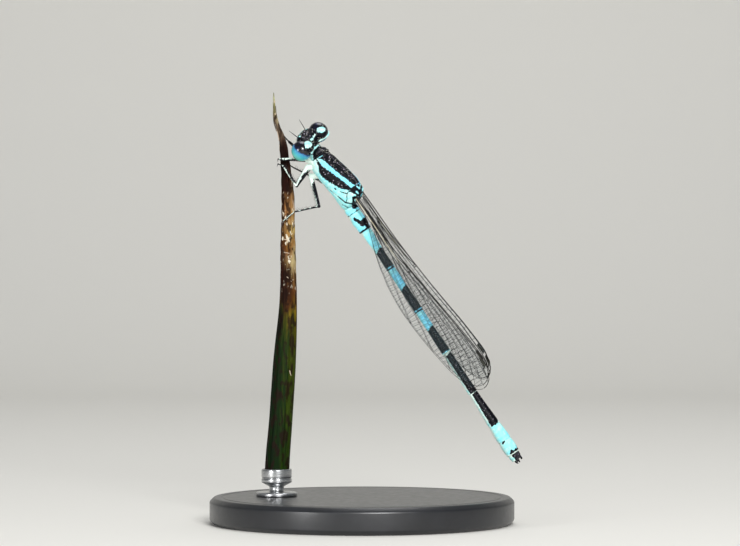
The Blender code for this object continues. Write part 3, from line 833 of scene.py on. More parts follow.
wings = {
    "lead": (  # back, then how far out and up the front edge lies
        (-0.95, 0.40, 1.86), (1.3, 0.36, 1.99), (4.1, 0.41, 2.13), (5.85, 0.42, 2.32),
        (8.4, 0.38, 2.70), (10.6, 0.36, 3.10), (12.1, 0.36, 3.38), (14.5, 0.33, 3.73),
        (18.2, 0.31, 4.04)),
    "chord": (  # share of the wing's length, width
        (0.0, 0.40), (0.09, 0.54), (0.147, 1.00), (0.254, 2.00), (0.34, 2.68), (0.468, 3.50),
        (0.60, 3.92), (0.72, 4.02), (0.80, 3.96), (1.0, 3.90)),
    # name, root back, tip back on the left and right, out, sink, sink at the tip, where on the left
    # and right the stigma starts
    "pairs": (
        ("forewing", -0.95, 17.88, 17.35, 0.0, 0.0, 0.30, (15.62, 14.62)),
        ("hindwing", -0.60, 17.60, 17.25, -0.04, 0.01, 0.16, (14.98, 15.72))),
    "rootDrop": 0.24,  # how much lower the hind wings leave the body
    "apex": 1.9,  # how far below the front edge the tip lies
    "frontBend": 0.86,
    "rearBend": 0.76,
    "spread": 4.0,  # degrees
    "fold": 0.035,
    "film": 0.012,
    "rows": 150,
    "cols": 44,
    "tipShare": {"film": 0.9993, "veins": 0.9995},  # how near the tip each of them ends
    "stigma": (0.84, 0.04, 0.31),  # length, then how far below the front edge it starts and ends
    "stigmaThick": 0.064,
    "nodus": 0.40,
    "cell": 0.52,
    "fineness": {"forewing": 1.0, "hindwing": 0.6},  # how thick its cross veins are
    "rearEdge": 0.019,  # radii of the edge and the cross veins
    "crossVein": 0.0175,
    "frontCrossVein": 0.014,
    "nodusVein": 0.045,
    "strawAndHighlightShare": 0.75,  # how pale the front wings' radius is at the root, its own straw colour together with a painted highlight
    # name, radius, then share of the length and depth below the front edge; a depth under 0 counts
    # from the rear edge
    "veins": (
        ("subcosta", 0.026, ((0.01, 0.15), (0.15, 0.16), (0.36, 0.16), (0.40, 0.02))),
        ("radius", 0.030,
         ((0.01, 0.28), (0.15, 0.33), (0.40, 0.37), (0.80, 0.41), (0.93, 0.62), (0.985, 1.05))),
        ("firstRadial", 0.023,
         ((0.13, 0.36), (0.20, 0.50), (0.40, 0.70), (0.60, 0.84), (0.80, 1.02), (0.99, 1.72))),
        ("innerRadial", 0.013, ((0.62, 1.12), (0.80, 1.50), (0.92, 1.92), (0.985, -0.01))),
        ("secondRadial", 0.016,
         ((0.50, 0.92), (0.62, 1.34), (0.80, 1.95), (0.90, 2.45), (0.955, -0.01))),
        ("innerSector", 0.013,
         ((0.36, 0.78), (0.50, 1.25), (0.65, 1.82), (0.80, 2.56), (0.91, -0.01))),
        ("thirdRadial", 0.016,
         ((0.31, 0.78), (0.50, 1.70), (0.65, 2.42), (0.78, 3.08), (0.86, -0.01))),
        ("media", 0.020,
         ((0.13, 0.40), (0.18, 0.60), (0.30, 1.20), (0.45, 2.24), (0.60, 3.02), (0.75, -0.01))),
        ("cubitus", 0.020, ((0.17, 0.72), (0.25, 1.32), (0.35, 2.04), (0.45, 2.80), (0.60, -0.01))),
    ),
}


class WingShape:
    # places on one wing, from a share of its length and a depth below its front edge

    def __init__(self, pair, side):
        self.name, self.root, leftTip, rightTip, self.out, self.sink, self.tipSink, stigmata = pair
        self.tip = leftTip if side > 0 else rightTip
        self.side = side
        start = stigmata[0] if side > 0 else stigmata[1]
        span = np.array((start, start + wings["stigma"][0])) - self.root
        self.stigma = span / (self.tip - self.root)

    def front(self, share):
        late = np.clip((share - wings["frontBend"]) / (1.0 - wings["frontBend"]), 0.0, 1.0)
        return wings["apex"] * (1.0 - np.sqrt(np.clip(1.0 - late ** 2.3, 0.0, 1.0)))

    def rear(self, share):
        width = through(wings["chord"], share)[:, 0].reshape(np.shape(share))
        late = np.clip((share - wings["rearBend"]) / (1.0 - wings["rearBend"]), 0.0, 1.0)
        taper = np.where(width > wings["apex"], np.sqrt(1.0 - late ** 2.1), 1.0)
        return wings["apex"] + (width - wings["apex"]) * taper

    def place(self, share, depth, lift=0.0):
        share = np.asarray(share, dtype=float)
        back = self.root + (self.tip - self.root) * share
        out, up = through(wings["lead"], back.ravel()).T
        out = out.reshape(share.shape) + self.out
        up = up.reshape(share.shape) - self.sink - self.tipSink * share
        if self.name == "hindwing":
            up = up - wings["rootDrop"] * (1.0 - smooth(0.08, 0.42, share))
        spread = math.radians(wings["spread"])
        # pleats that fade from the front edge back, and weaker ones behind them
        fold = wings["fold"] * np.cos(2.0 * np.pi * depth / 0.34) * np.exp(-depth / 0.8)
        fold = fold * smooth(0.0, 0.1, share)
        fold = fold + 0.012 * np.cos(2.0 * np.pi * depth / 0.62) * smooth(0.5, 1.2, depth)
        left = out + depth * math.sin(spread) + fold + lift
        return inBody(np.stack((self.side * left, back, up - depth * math.cos(spread)), -1))

    def slab(self, share, depth, thick):
        # rings round a thin plate: out along its outer face, back along its inner one
        faces = (self.place(share, depth, 0.5 * thick),
                 self.place(share, depth, -0.5 * thick)[:, ::-1])
        return np.concatenate(faces, axis=1)


def membraneFinish():
    # Wing membrane: a smoky clear film two thousandths of a millimetre thick, drawn as a thicker
    # slab, so it tints what lies behind it and shines at a slant
    made, _, shader = newFinish("wingMembrane", Roughness=0.24, IOR=1.5, Alpha=0.032,
                                Thin_Film_Thickness=330.0, Thin_Film_IOR=1.4)
    shader.inputs["Base Color"].default_value = linearColour("#71878C")
    return made


def veinFinish():
    # Wing veins: hollow dark brown chitin tubes, pale straw on the front ones near the root, their
    # own colour together with a painted highlight
    made, tree, shader = newFinish("wingVein", Roughness=0.45, IOR=1.54, Specular_IOR_Level=0.25)
    shade = addNode(tree, "ShaderNodeValToRGB", {0: grain(tree, 0.20)},
                    stops=((0.3, "#090807"), (0.7, "#1A1713")))
    strawAndHighlight = addNode(tree, "ShaderNodeAttribute", attribute_name="strawAndHighlight").outputs["Fac"]
    colour = addNode(tree, "ShaderNodeMix", {0: strawAndHighlight, 1: shade, 2: "#E0D8B8"}, data_type="RGBA")
    tree.links.new(colour.outputs[2], shader.inputs["Base Color"])
    return made


def stigmaFinish():
    # Pterostigma: a thick dark brown cell, paler at its rim
    return mottledFinish("pterostigma", 0.12, ((0.3, "#14140F"), (0.75, "#3A3C32")),
                         Roughness=0.42, IOR=1.54)[0]


def tubeTree():
    # Geometry Nodes: edges become round tubes, as thick as each point says
    tree, given = newTree("veinTubes", Sides="Int", Finish="Material")
    lines = addNode(tree, "GeometryNodeMeshToCurve", {0: given["Geometry"]})
    ring = addNode(tree, "GeometryNodeCurvePrimitiveCircle", {0: given["Sides"], "Radius": 1.0})
    girth = addNode(tree, "GeometryNodeInputNamedAttribute", {"Name": "girth"}, data_type="FLOAT")
    tubes = addNode(tree, "GeometryNodeCurveToMesh",
                    {0: lines, 1: ring, "Scale": girth, "Fill Caps": True})
    real = addNode(tree, "GeometryNodeRealizeInstances", {0: tubes})
    return endTree(tree, real, given["Finish"])


def crossVein(shape, share, top, low, radius, slant=0.0):
    line = np.linspace(0.0, 1.0, 4)
    spots = shape.place(share + slant * line, top + (low - top) * line)
    return spots, np.full(4, radius), 0.0


def wingVeins(shape):
    # lines of (points, radius at each, how pale: straw colour with a painted highlight)
    share = np.sin(np.linspace(0.0, 0.5 * np.pi, 150))
    share[-1] = wings["tipShare"]["veins"]
    thick = 0.050 - 0.012 * smooth(0.05, 0.40, share) - 0.008 * smooth(0.86, 1.0, share)
    lines = [(shape.place(share, shape.front(share)), thick, 0.0),
             (shape.place(share, shape.rear(share)), np.full(len(share), wings["rearEdge"]), 0.0)]
    tracks = []
    fine = wings["fineness"][shape.name]
    for name, radius, knots in wings["veins"]:
        knots = [(at, depth + (depth < 0.0) * float(shape.rear(at))) for at, depth in knots]
        start, end = knots[0][0], knots[-1][0]
        at = np.linspace(start, end, max(12, int((end - start) * 130)))
        depth = np.maximum(through(knots, at)[:, 0], shape.front(at))
        # the front wings' radius is pale near the root: straw colour and painted highlight
        pale = name == "radius" and shape.name == "forewing"
        strawAndHighlight = wings["strawAndHighlightShare"] * pale * (1.0 - smooth(0.26, 0.40, at))
        girth = radius * (0.5 + 0.5 * fine) * (1.0 - 0.3 * at)
        girth = girth * (1.0 + 0.3 * (name != "radius") * (1.0 - smooth(0.12, 0.35, at)))
        lines.append((shape.place(at, depth), girth, strawAndHighlight))
        tracks.append((at, depth))
    for number, (at, depth) in enumerate(tracks):
        # cross veins go down from each vein to the next one below it
        step = wings["cell"] * (1.0 if number < 3 else 0.82) / (shape.tip - shape.root)
        spots = np.arange(at[0] + step * (0.3 + 0.17 * (number % 3)), at[-1], step)
        if number == 0:
            spots = np.array((0.20, 0.29))
        for spot in spots:
            top = float(np.interp(spot, at, depth))
            below = [float(np.interp(spot, a, d)) for a, d in tracks if a[0] <= spot <= a[-1]]
            below = [d for d in below + [float(shape.rear(spot))] if d > top + 0.06]
            if below:
                slant = 0.006 * math.sin(37.0 * spot + number)
                radius = wings["crossVein"] * fine
                lines.append(crossVein(shape, spot, top, min(below), radius, slant))
    # the others go down from the front edge to the radius
    first, last = shape.stigma
    row = np.arange(wings["nodus"], first - 0.01, wings["cell"] * 1.15 / 18.5)
    for spot in (0.19, 0.28, *row, first, last, 0.965):
        radius = wings["nodusVein"] if spot == wings["nodus"] else wings["frontCrossVein"]
        low = float(np.interp(spot, *tracks[1]))
        lines.append(crossVein(shape, spot, float(shape.front(spot)), low, radius))
    return lines


def linesMesh(name, lines):
    points, edges, girth, strawAndHighlight = [], [], [], []
    start = 0
    for spots, radii, pale in lines:
        points.append(spots * mm)
        girth.append(radii * mm)
        strawAndHighlight.append(pale + 0.0 * radii)
        edges += [(start + i, start + i + 1) for i in range(len(spots) - 1)]
        start += len(spots)
    mesh = bpy.data.meshes.new(name)
    mesh.from_pydata(np.vstack(points).tolist(), edges, [])
    addMark(mesh, "girth", np.concatenate(girth))
    addMark(mesh, "strawAndHighlight", np.concatenate(strawAndHighlight))
    return mesh


def makeWings():
    film, vein, stigma = membraneFinish(), veinFinish(), stigmaFinish()
    tree = tubeTree()
    along = np.sin(np.linspace(0.0, 0.5 * np.pi, wings["rows"]))
    along[-1] = wings["tipShare"]["film"]
    for pair in wings["pairs"]:
        for sideName, side in bothSides.items():
            shape = WingShape(pair, side)
            name = f"{pair[0]}_{sideName}"
            across = np.linspace(0.0, 1.0, wings["cols"]) ** 1.3
            front, rear = shape.front(along)[:, None], shape.rear(along)[:, None]
            depth = front + (rear - front) * across[None, :]
            rings = shape.slab(along[:, None] + 0.0 * depth, depth, wings["film"])
            addPiece(f"{name}_membrane", ringSkin(rings), film, (name,))
            tubes = grown(f"{name}_veins", linesMesh(f"{name}_lines", wingVeins(shape)), tree,
                          {"Sides": 6, "Finish": vein})
            keepPiece(f"{name}_veins", tubes, vein)
            share = np.linspace(*shape.stigma, 14)
            across = np.linspace(*wings["stigma"][1:], 8)
            skew = share[:, None] + 0.030 * (across[None, :] - 0.2)
            depth = shape.front(share)[:, None] + across[None, :]
            rings = shape.slab(skew, depth, wings["stigmaThick"])
            addPiece(f"{name}_stigma", ringSkin(rings), stigma)


makeWings()
print("wings: four membranes with veins and stigmata")


# Legs

legs = {
    "paths": {  # body end, knee, ankle and claws
        "fore_left": ((-4.50, -0.38, 29.82), (-5.50, -0.56, 29.86), (-6.68, -0.26, 29.87),
                      (-6.90, 0.52, 29.92)),
        "mid_left": ((-4.48, -0.28, 29.21), (-5.34, -0.80, 27.68), (-6.46, -0.36, 29.34),
                     (-6.88, 0.28, 29.50)),
        "hind_left": ((-4.18, 0.00, 28.45), (-3.52, -1.05, 26.00), (-5.52, -0.62, 25.55),
                      (-6.45, -0.42, 24.80)),
        "fore_right": ((-4.15, 0.62, 30.25), (-5.02, 1.50, 30.50), (-6.00, 1.06, 31.35),
                       (-6.42, 0.96, 31.80)),
        "mid_right": ((-4.20, 0.86, 29.38), (-5.42, 1.90, 27.78), (-6.22, 1.40, 28.86),
                      (-6.38, 1.32, 28.02)),
        "hind_right": ((-3.55, 0.98, 28.91), (-3.35, 3.00, 28.12), (-5.65, 1.62, 29.25),
                       (-6.34, 1.20, 29.70)),
    },
    "coxae": {"fore": (0.42, -5.20, -0.06), "mid": (0.46, -4.75, -0.25),
              "hind": (0.52, -4.05, -0.35)},
    "paleAndLitWay": (-0.80, -0.25, 0.54),  # the pale stripe faces this same way on every leg: partly their own pale stripe, partly a painted highlight on the upper side
    # how narrow the pale stripe is on femur, tibia and tarsus, and how it breaks up on the tibia
    "stripes": {
        "fore": (0.45, 0.42, 1.30, 0.1),
        "mid": (0.38, 0.51, 1.30, 0.03),
        "hind": (0.84, 0.95, 0.45, 0.5)},
    "coxaThick": {"fore": 0.40, "mid": 0.34, "hind": 0.34},
    "tibiaThick": {"fore": 0.150, "mid": 0.125, "hind": 0.080},
    "tarsusParts": ((0.0, 0.22), (0.28, 0.52), (0.58, 0.96)),  # shares of its length
    "clawDroop": 0.20,
    "spineStep": 0.17,
    "spineLength": 0.30,
    "spineGirth": 0.016,
}


def limbSkin(rings, narrow, broken=0.0, brown=0.0, ends=(0.0, 0.0)):
    # pale where a limb faces the pale way, partly its own stripe and partly a painted highlight;
    # ends make the root paler and the knee darker
    away = rings - rings.mean(axis=1, keepdims=True)
    facing = away / np.maximum(np.linalg.norm(away, axis=2, keepdims=True), 1e-6)
    along = np.linspace(0.0, 1.0, len(rings))[:, None]
    dashes = np.sin(43.0 * along) + 0.5 * np.sin(71.0 * along + 1.0)
    narrow = narrow - ends[0] * (1.0 - smooth(0.15, 0.45, along))
    narrow = narrow + ends[1] * smooth(0.85, 0.95, along)
    ink = 0.16 * (narrow + broken * dashes - facing @ unit(legs["paleAndLitWay"]))
    return shellSkin(rings, ink, 1.05, brown)


def clawSkins(claws, way):
    # two claws that part and droop
    skins = []
    hook = unit(np.cross(way, (0.2, 1.0, 0.1)))
    for turn in (-0.5, 0.5):
        bend = [claws + way * (0.02 + 0.16 * t) + hook * turn * 0.16 * math.sin(2.2 * t)
                + np.array((0, 0, -legs["clawDroop"] * t * t)) for t in np.linspace(0.0, 1.0, 9)]
        skins.append(limbSkin(tubeRings(bend, np.linspace(0.034, 0.008, 9), 10), 2.0, brown=0.2))
    return skins


def spineRoots(body, knee, ankle):
    # two rows of spines on the femur and on the tibia, each as (place, way)
    spines = []
    rows = ((body, knee, 0.12, 0.35, 1.0), (knee, ankle, 0.07, 0.06, -1.0))
    for start, end, radius, low, facing in rows:
        along = unit(end - start)
        length = np.linalg.norm(end - start)
        bendWay = unit(np.cross(np.cross(along, ankle - body), along))
        for row in (-0.6, 0.6):
            aside = np.cross(along, bendWay)
            aim = unit(math.cos(row) * bendWay * facing + math.sin(row) * aside)
            for at in np.arange(low, length - 0.05, legs["spineStep"]):
                place = start + along * (at + 0.05 * row) + aim * radius * 0.8
                spines.append((place, aim + 0.55 * along))
    return spines


def makeLegs():
    # makes the legs and hands back where their spines stand
    spines = []
    for name, spots in legs["paths"].items():
        body, knee, ankle, claws = (np.array(spot) for spot in spots)
        pair, sideName = name.split("_")
        coxa = inBody(np.array(legs["coxae"][pair]) * (bothSides[sideName], 1.0, 1.0))
        femur, tibia, tarsus, broken = legs["stripes"][pair]
        thick = legs["tibiaThick"][pair]
        joint = 0.13 * unit(knee - body)
        way, length = unit(claws - ankle), np.linalg.norm(claws - ankle)
        toes = [limbRings(ankle + way * length * a, ankle + way * length * b, 0.042, 0.060, 14)
                for a, b in legs["tarsusParts"]]
        parts = {
            "femur": [
                limbSkin(limbRings(coxa, body, legs["coxaThick"][pair], 0.21, 24), -2.0),
                limbSkin(limbRings(body - joint, body + joint, 0.18, 0.16), -0.2),
                limbSkin(limbRings(body, knee, 0.175, 0.135, swell=0.020), femur, ends=(1.3, 0.8))],
            "tibia": [limbSkin(limbRings(knee, ankle, thick, 0.7 * thick), tibia, broken)],
            "tarsus": [limbSkin(rings, tarsus, 0.3) for rings in toes] + clawSkins(claws, way),
        }
        for part, skins in parts.items():
            node = f"leg_{name}_{part}"
            addPiece(node, mergeSkins(skins), cuticle, (node,))
        spines += spineRoots(body, knee, ankle)
    return spines


def bristleTree():
    # Geometry Nodes: one thin cone on each point, along its own way
    tree, given = newTree("legSpines", Length="Float", Girth="Float", Tip="Float", Seed="Int",
                          Finish="Material")
    thorn = addNode(tree, "GeometryNodeMeshCone",
                    {"Vertices": 5, "Side Segments": 3, "Radius Top": given["Tip"],
                     "Radius Bottom": given["Girth"], "Depth": given["Length"]})
    aim = addNode(tree, "GeometryNodeInputNamedAttribute", {"Name": "aim"},
                  data_type="FLOAT_VECTOR")
    turn = addNode(tree, "FunctionNodeAlignRotationToVector", {"Vector": aim}, axis="Z")
    size = addNode(tree, "FunctionNodeRandomValue",
                   {"Min": 0.75, "Max": 1.15, "Seed": given["Seed"]})
    placed = addNode(tree, "GeometryNodeInstanceOnPoints",
                     {0: given["Geometry"], "Instance": thorn.outputs["Mesh"], "Rotation": turn,
                      "Scale": size})
    real = addNode(tree, "GeometryNodeRealizeInstances", {0: placed})
    return endTree(tree, real, given["Finish"])


def spineFinish():
    # Leg spines: stiff black bristles, a little translucent brown at their tips
    return mottledFinish("spineChitin", 0.15, ((0.3, "#0C0B0D"), (0.7, "#2A241E")),
                         Roughness=0.4, IOR=1.54)[0]


def makeSpines(spines):
    roots = bpy.data.meshes.new("spineRoots")
    roots.from_pydata([tuple(spot * mm) for spot, aim in spines], [], [])
    aims = np.array([aim for spot, aim in spines], dtype=np.float32)
    roots.attributes.new("aim", "FLOAT_VECTOR", "POINT").data.foreach_set("vector", aims.ravel())
    finish = spineFinish()
    mesh = grown("legSpines", roots, bristleTree(), {
        "Length": legs["spineLength"] * mm, "Girth": legs["spineGirth"] * mm, "Tip": 0.002 * mm,
        "Seed": 5, "Finish": finish})
    keepPiece("legSpines", mesh, finish)


makeSpines(makeLegs())
print("legs: six, with claws and spines")


# Hair

coat = {
    # length and thickness of a hair, hairs to a square millimetre, lean to the tail, scatter, seed
    "thorax": (0.52, 0.0135, 5.5, 0.25, 0.45, 11),
    "prothorax": (0.36, 0.0125, 7.0, 0.10, 0.50, 12),
    "head": (0.44, 0.0110, 12.0, -0.20, 0.50, 13),
    "face": (0.28, 0.0055, 30.0, -0.10, 0.45, 14),
    "belly": (0.30, 0.0060, 30.0, 0.30, 0.50, 15),
    "patch": 0.003,  # size of a hair's own patch on the skin's map
    "tip": 0.0008,
    "curl": 0.22,
}


def hairTree():
    # Geometry Nodes: fine bent hairs scattered over a skin, as dense as its "hair" mark says
    tree, given = newTree("hairCoat", Length="Float", Girth="Float", Tip="Float", Density="Float",
                          Lean="Vector", Scatter="Float", Curl="Float", Patch="Float", Seed="Int",
                          Finish="Material")
    mark = addNode(tree, "GeometryNodeInputNamedAttribute", {"Name": "hair"}, data_type="FLOAT")
    density = addNode(tree, "ShaderNodeMath", {0: mark, 1: given["Density"]}, operation="MULTIPLY")
    roots = addNode(tree, "GeometryNodeDistributePointsOnFaces",
                    {0: given["Geometry"], "Density": density, "Seed": given["Seed"]})
    flat = addNode(tree, "GeometryNodeInputNamedAttribute", {"Name": "UVMap"},
                   data_type="FLOAT_VECTOR")
    placed = addNode(tree, "GeometryNodeStoreNamedAttribute",
                     {0: roots, "Name": "rootPlace", "Value": flat},
                     data_type="FLOAT_VECTOR", domain="POINT")
    shake = addNode(tree, "FunctionNodeRandomValue",
                    {0: (-1.0, -1.0, -1.0), 1: (1.0, 1.0, 1.0), "Seed": given["Seed"]},
                    data_type="FLOAT_VECTOR")
    shaken = addNode(tree, "ShaderNodeVectorMath", {0: shake, "Scale": given["Scatter"]},
                     operation="SCALE")
    leaned = addNode(tree, "ShaderNodeVectorMath", {0: roots.outputs["Normal"], 1: given["Lean"]},
                     operation="ADD")
    way = addNode(tree, "ShaderNodeVectorMath", {0: leaned, 1: shaken}, operation="ADD")
    turn = addNode(tree, "FunctionNodeAlignRotationToVector", {"Vector": way}, axis="Z")
    size = addNode(tree, "FunctionNodeRandomValue",
                   {"Min": 0.5, "Max": 1.15, "Seed": given["Seed"]})
    hair = addNode(tree, "GeometryNodeMeshCone",
                   {"Vertices": 3, "Side Segments": 4, "Radius Top": given["Tip"],
                    "Radius Bottom": given["Girth"], "Depth": given["Length"]})
    spot = addNode(tree, "ShaderNodeSeparateXYZ", {0: addNode(tree, "GeometryNodeInputPosition")})
    rise = addNode(tree, "ShaderNodeMath", {0: spot.outputs["Z"], 1: given["Length"]},
                   operation="DIVIDE")
    curl = addNode(tree, "ShaderNodeMath", {0: rise, 1: 2.0}, operation="POWER")
    curl = addNode(tree, "ShaderNodeMath", {0: curl, 1: given["Length"]}, operation="MULTIPLY")
    curl = addNode(tree, "ShaderNodeMath", {0: curl, 1: given["Curl"]}, operation="MULTIPLY")
    aside = addNode(tree, "ShaderNodeCombineXYZ", {0: curl})
    bent = addNode(tree, "GeometryNodeSetPosition", {0: hair.outputs["Mesh"], "Offset": aside})
    marked = addNode(tree, "GeometryNodeStoreNamedAttribute",
                     {0: bent, "Name": "ownPlace", "Value": hair.outputs["UV Map"]},
                     data_type="FLOAT_VECTOR", domain="CORNER")
    hairs = addNode(tree, "GeometryNodeInstanceOnPoints",
                    {0: placed, "Instance": marked, "Rotation": turn, "Scale": size})
    real = addNode(tree, "GeometryNodeRealizeInstances", {0: hairs})
    own = addNode(tree, "GeometryNodeInputNamedAttribute", {"Name": "ownPlace"},
                  data_type="FLOAT_VECTOR")
    small = addNode(tree, "ShaderNodeVectorMath", {0: own, "Scale": given["Patch"]},
                    operation="SCALE")
    root = addNode(tree, "GeometryNodeInputNamedAttribute", {"Name": "rootPlace"},
                   data_type="FLOAT_VECTOR")
    both = addNode(tree, "ShaderNodeVectorMath", {0: root, 1: small}, operation="ADD")
    mapped = addNode(tree, "GeometryNodeStoreNamedAttribute",
                     {0: real, "Name": "OFBake", "Value": both}, data_type="FLOAT2",
                     domain="CORNER")
    bare = addNode(tree, "GeometryNodeRemoveAttribute", {0: mapped, "Name": "ownPlace"})
    bare = addNode(tree, "GeometryNodeRemoveAttribute", {0: bare, "Name": "rootPlace"})
    return endTree(tree, bare, given["Finish"])


def hairFinish():
    # Hair: fine pale bristles that catch the light
    return mottledFinish("paleHair", 0.30, ((0.3, "#D9DAC8"), (0.7, "#F6F8EE")),
                         Roughness=0.42, IOR=1.54)[0]


def makeHair():
    tree = hairTree()
    finish = hairFinish()
    scalps = {"thorax": [thoraxShell], "prothorax": [prothoraxShell], "head": [headShell],
              "face": [faceShell],
              "belly": [bpy.data.objects[f"abdomenShell{number}"] for number in (1, 2, 3)]}
    for place, pieces in scalps.items():
        length, girth, density, lean, scatter, seed = coat[place]
        for number, piece in enumerate(pieces):
            name = f"{place}Hair{number + 1}"
            mesh = grown(name, piece.data.copy(), tree, {
                "Length": length * mm, "Girth": girth * mm, "Tip": coat["tip"] * mm,
                "Density": density / (mm * mm), "Lean": tuple(bodyAxes[1] * lean),
                "Scatter": scatter, "Curl": coat["curl"], "Patch": coat["patch"],
                "Seed": seed + number, "Finish": finish})
            keepPiece(name, mesh, finish)


makeHair()
print("hair: thorax, head and belly")


# Perch

stem = {
    "stations": (  # height, across, radius
        (3.56, -7.02, 0.97), (4.85, -6.97, 0.97), (8.35, -6.70, 0.94), (13.85, -6.34, 0.91),
        (18.10, -6.08, 0.72), (22.75, -6.09, 0.61), (27.75, -6.15, 0.48), (29.91, -6.35, 0.37),
        (31.95, -6.67, 0.235), (32.75, -6.98, 0.16), (33.30, -7.17, 0.13), (34.40, -7.22, 0.08),
        (35.38, -7.27, 0.03)),
    "depth": 0.5,
    "sides": 96,
    "rows": 240,
    "ribs": 15,
    "ribDepth": 0.022,
    "slivers": (  # height, across, depth and half width of each split strip
        ((31.7, -6.50, 0.36, 0.14), (32.6, -6.83, 0.34, 0.11), (33.6, -7.05, 0.36, 0.05),
         (34.3, -7.10, 0.42, 0.02)),
        ((32.2, -7.02, 0.55, 0.05), (33.0, -7.26, 0.60, 0.04), (33.9, -7.30, 0.62, 0.02),
         (34.6, -7.34, 0.60, 0.01))),
    "beads": ((34.62, -7.20, 0.42, 0.075), (33.62, -7.12, 0.38, 0.065)),
    "peels": (  # height and turn at each end, half width: threads and flakes lifting off the skin
        (25.42, -150, 24.72, -50, 0.028), (25.05, -160, 24.40, -90, 0.022),
        (24.62, -60, 24.95, -15, 0.020), (23.34, -128, 23.24, -84, 0.045),
        (22.24, -118, 22.16, -76, 0.040), (26.60, -42, 25.70, -28, 0.030),
        (32.50, -172, 31.35, -158, 0.045), (31.15, -165, 30.55, -176, 0.030),
        (20.25, -100, 20.12, -88, 0.045), (19.92, -74, 19.84, -66, 0.035),
        (28.3, -30, 27.6, -40, 0.022), (12.6, -60, 12.1, -50, 0.05)),
    "colours": {  # height and colour down the left, the middle and the right of the front: the left is darkened as painted shade and the right lightened as painted light
        "left": (
            (3.6, "#031004"), (10.0, "#051403"), (14.2, "#081A04"), (16.0, "#061004"),
            (17.3, "#080406"), (19.2, "#200B04"), (21.5, "#2A0C06"), (24.0, "#3C2614"),
            (26.6, "#2E180F"), (29.0, "#0C0403"), (31.5, "#120805"), (32.6, "#5C5044"),
            (35.4, "#8A8A55")),
        "middle": (
            (3.6, "#0A1E04"), (13.5, "#0F2206"), (16.0, "#232F08"), (17.1, "#34350B"),
            (18.3, "#41240A"), (19.4, "#2C1608"), (20.6, "#2C180C"), (21.5, "#594226"),
            (22.3, "#604430"), (22.9, "#5A320D"), (24.0, "#94703F"), (25.2, "#775636"),
            (26.2, "#8E6238"), (27.0, "#654628"), (27.6, "#240C08"), (29.6, "#100403"),
            (31.4, "#1C0D08"), (32.0, "#3C2A20"), (32.7, "#5E4E3E"), (33.2, "#5A5630"),
            (34.6, "#8E8F58"), (35.4, "#CED19A")),
        "right": (
            (3.6, "#1C3204"), (10.0, "#2C3A07"), (14.2, "#343C06"), (15.9, "#4A4406"),
            (17.1, "#6E5C12"), (18.3, "#5E4214"), (19.2, "#5C3414"), (20.4, "#70502C"),
            (21.5, "#A8976C"), (22.9, "#8A6434"), (24.0, "#AE9960"), (25.3, "#9C7A4A"),
            (26.8, "#86643F"), (27.8, "#44291E"), (29.0, "#1E0B08"), (31.4, "#2C160E"),
            (32.6, "#7A6A58"), (35.4, "#C2C48C")),
    },
    "top": 36.0,
}


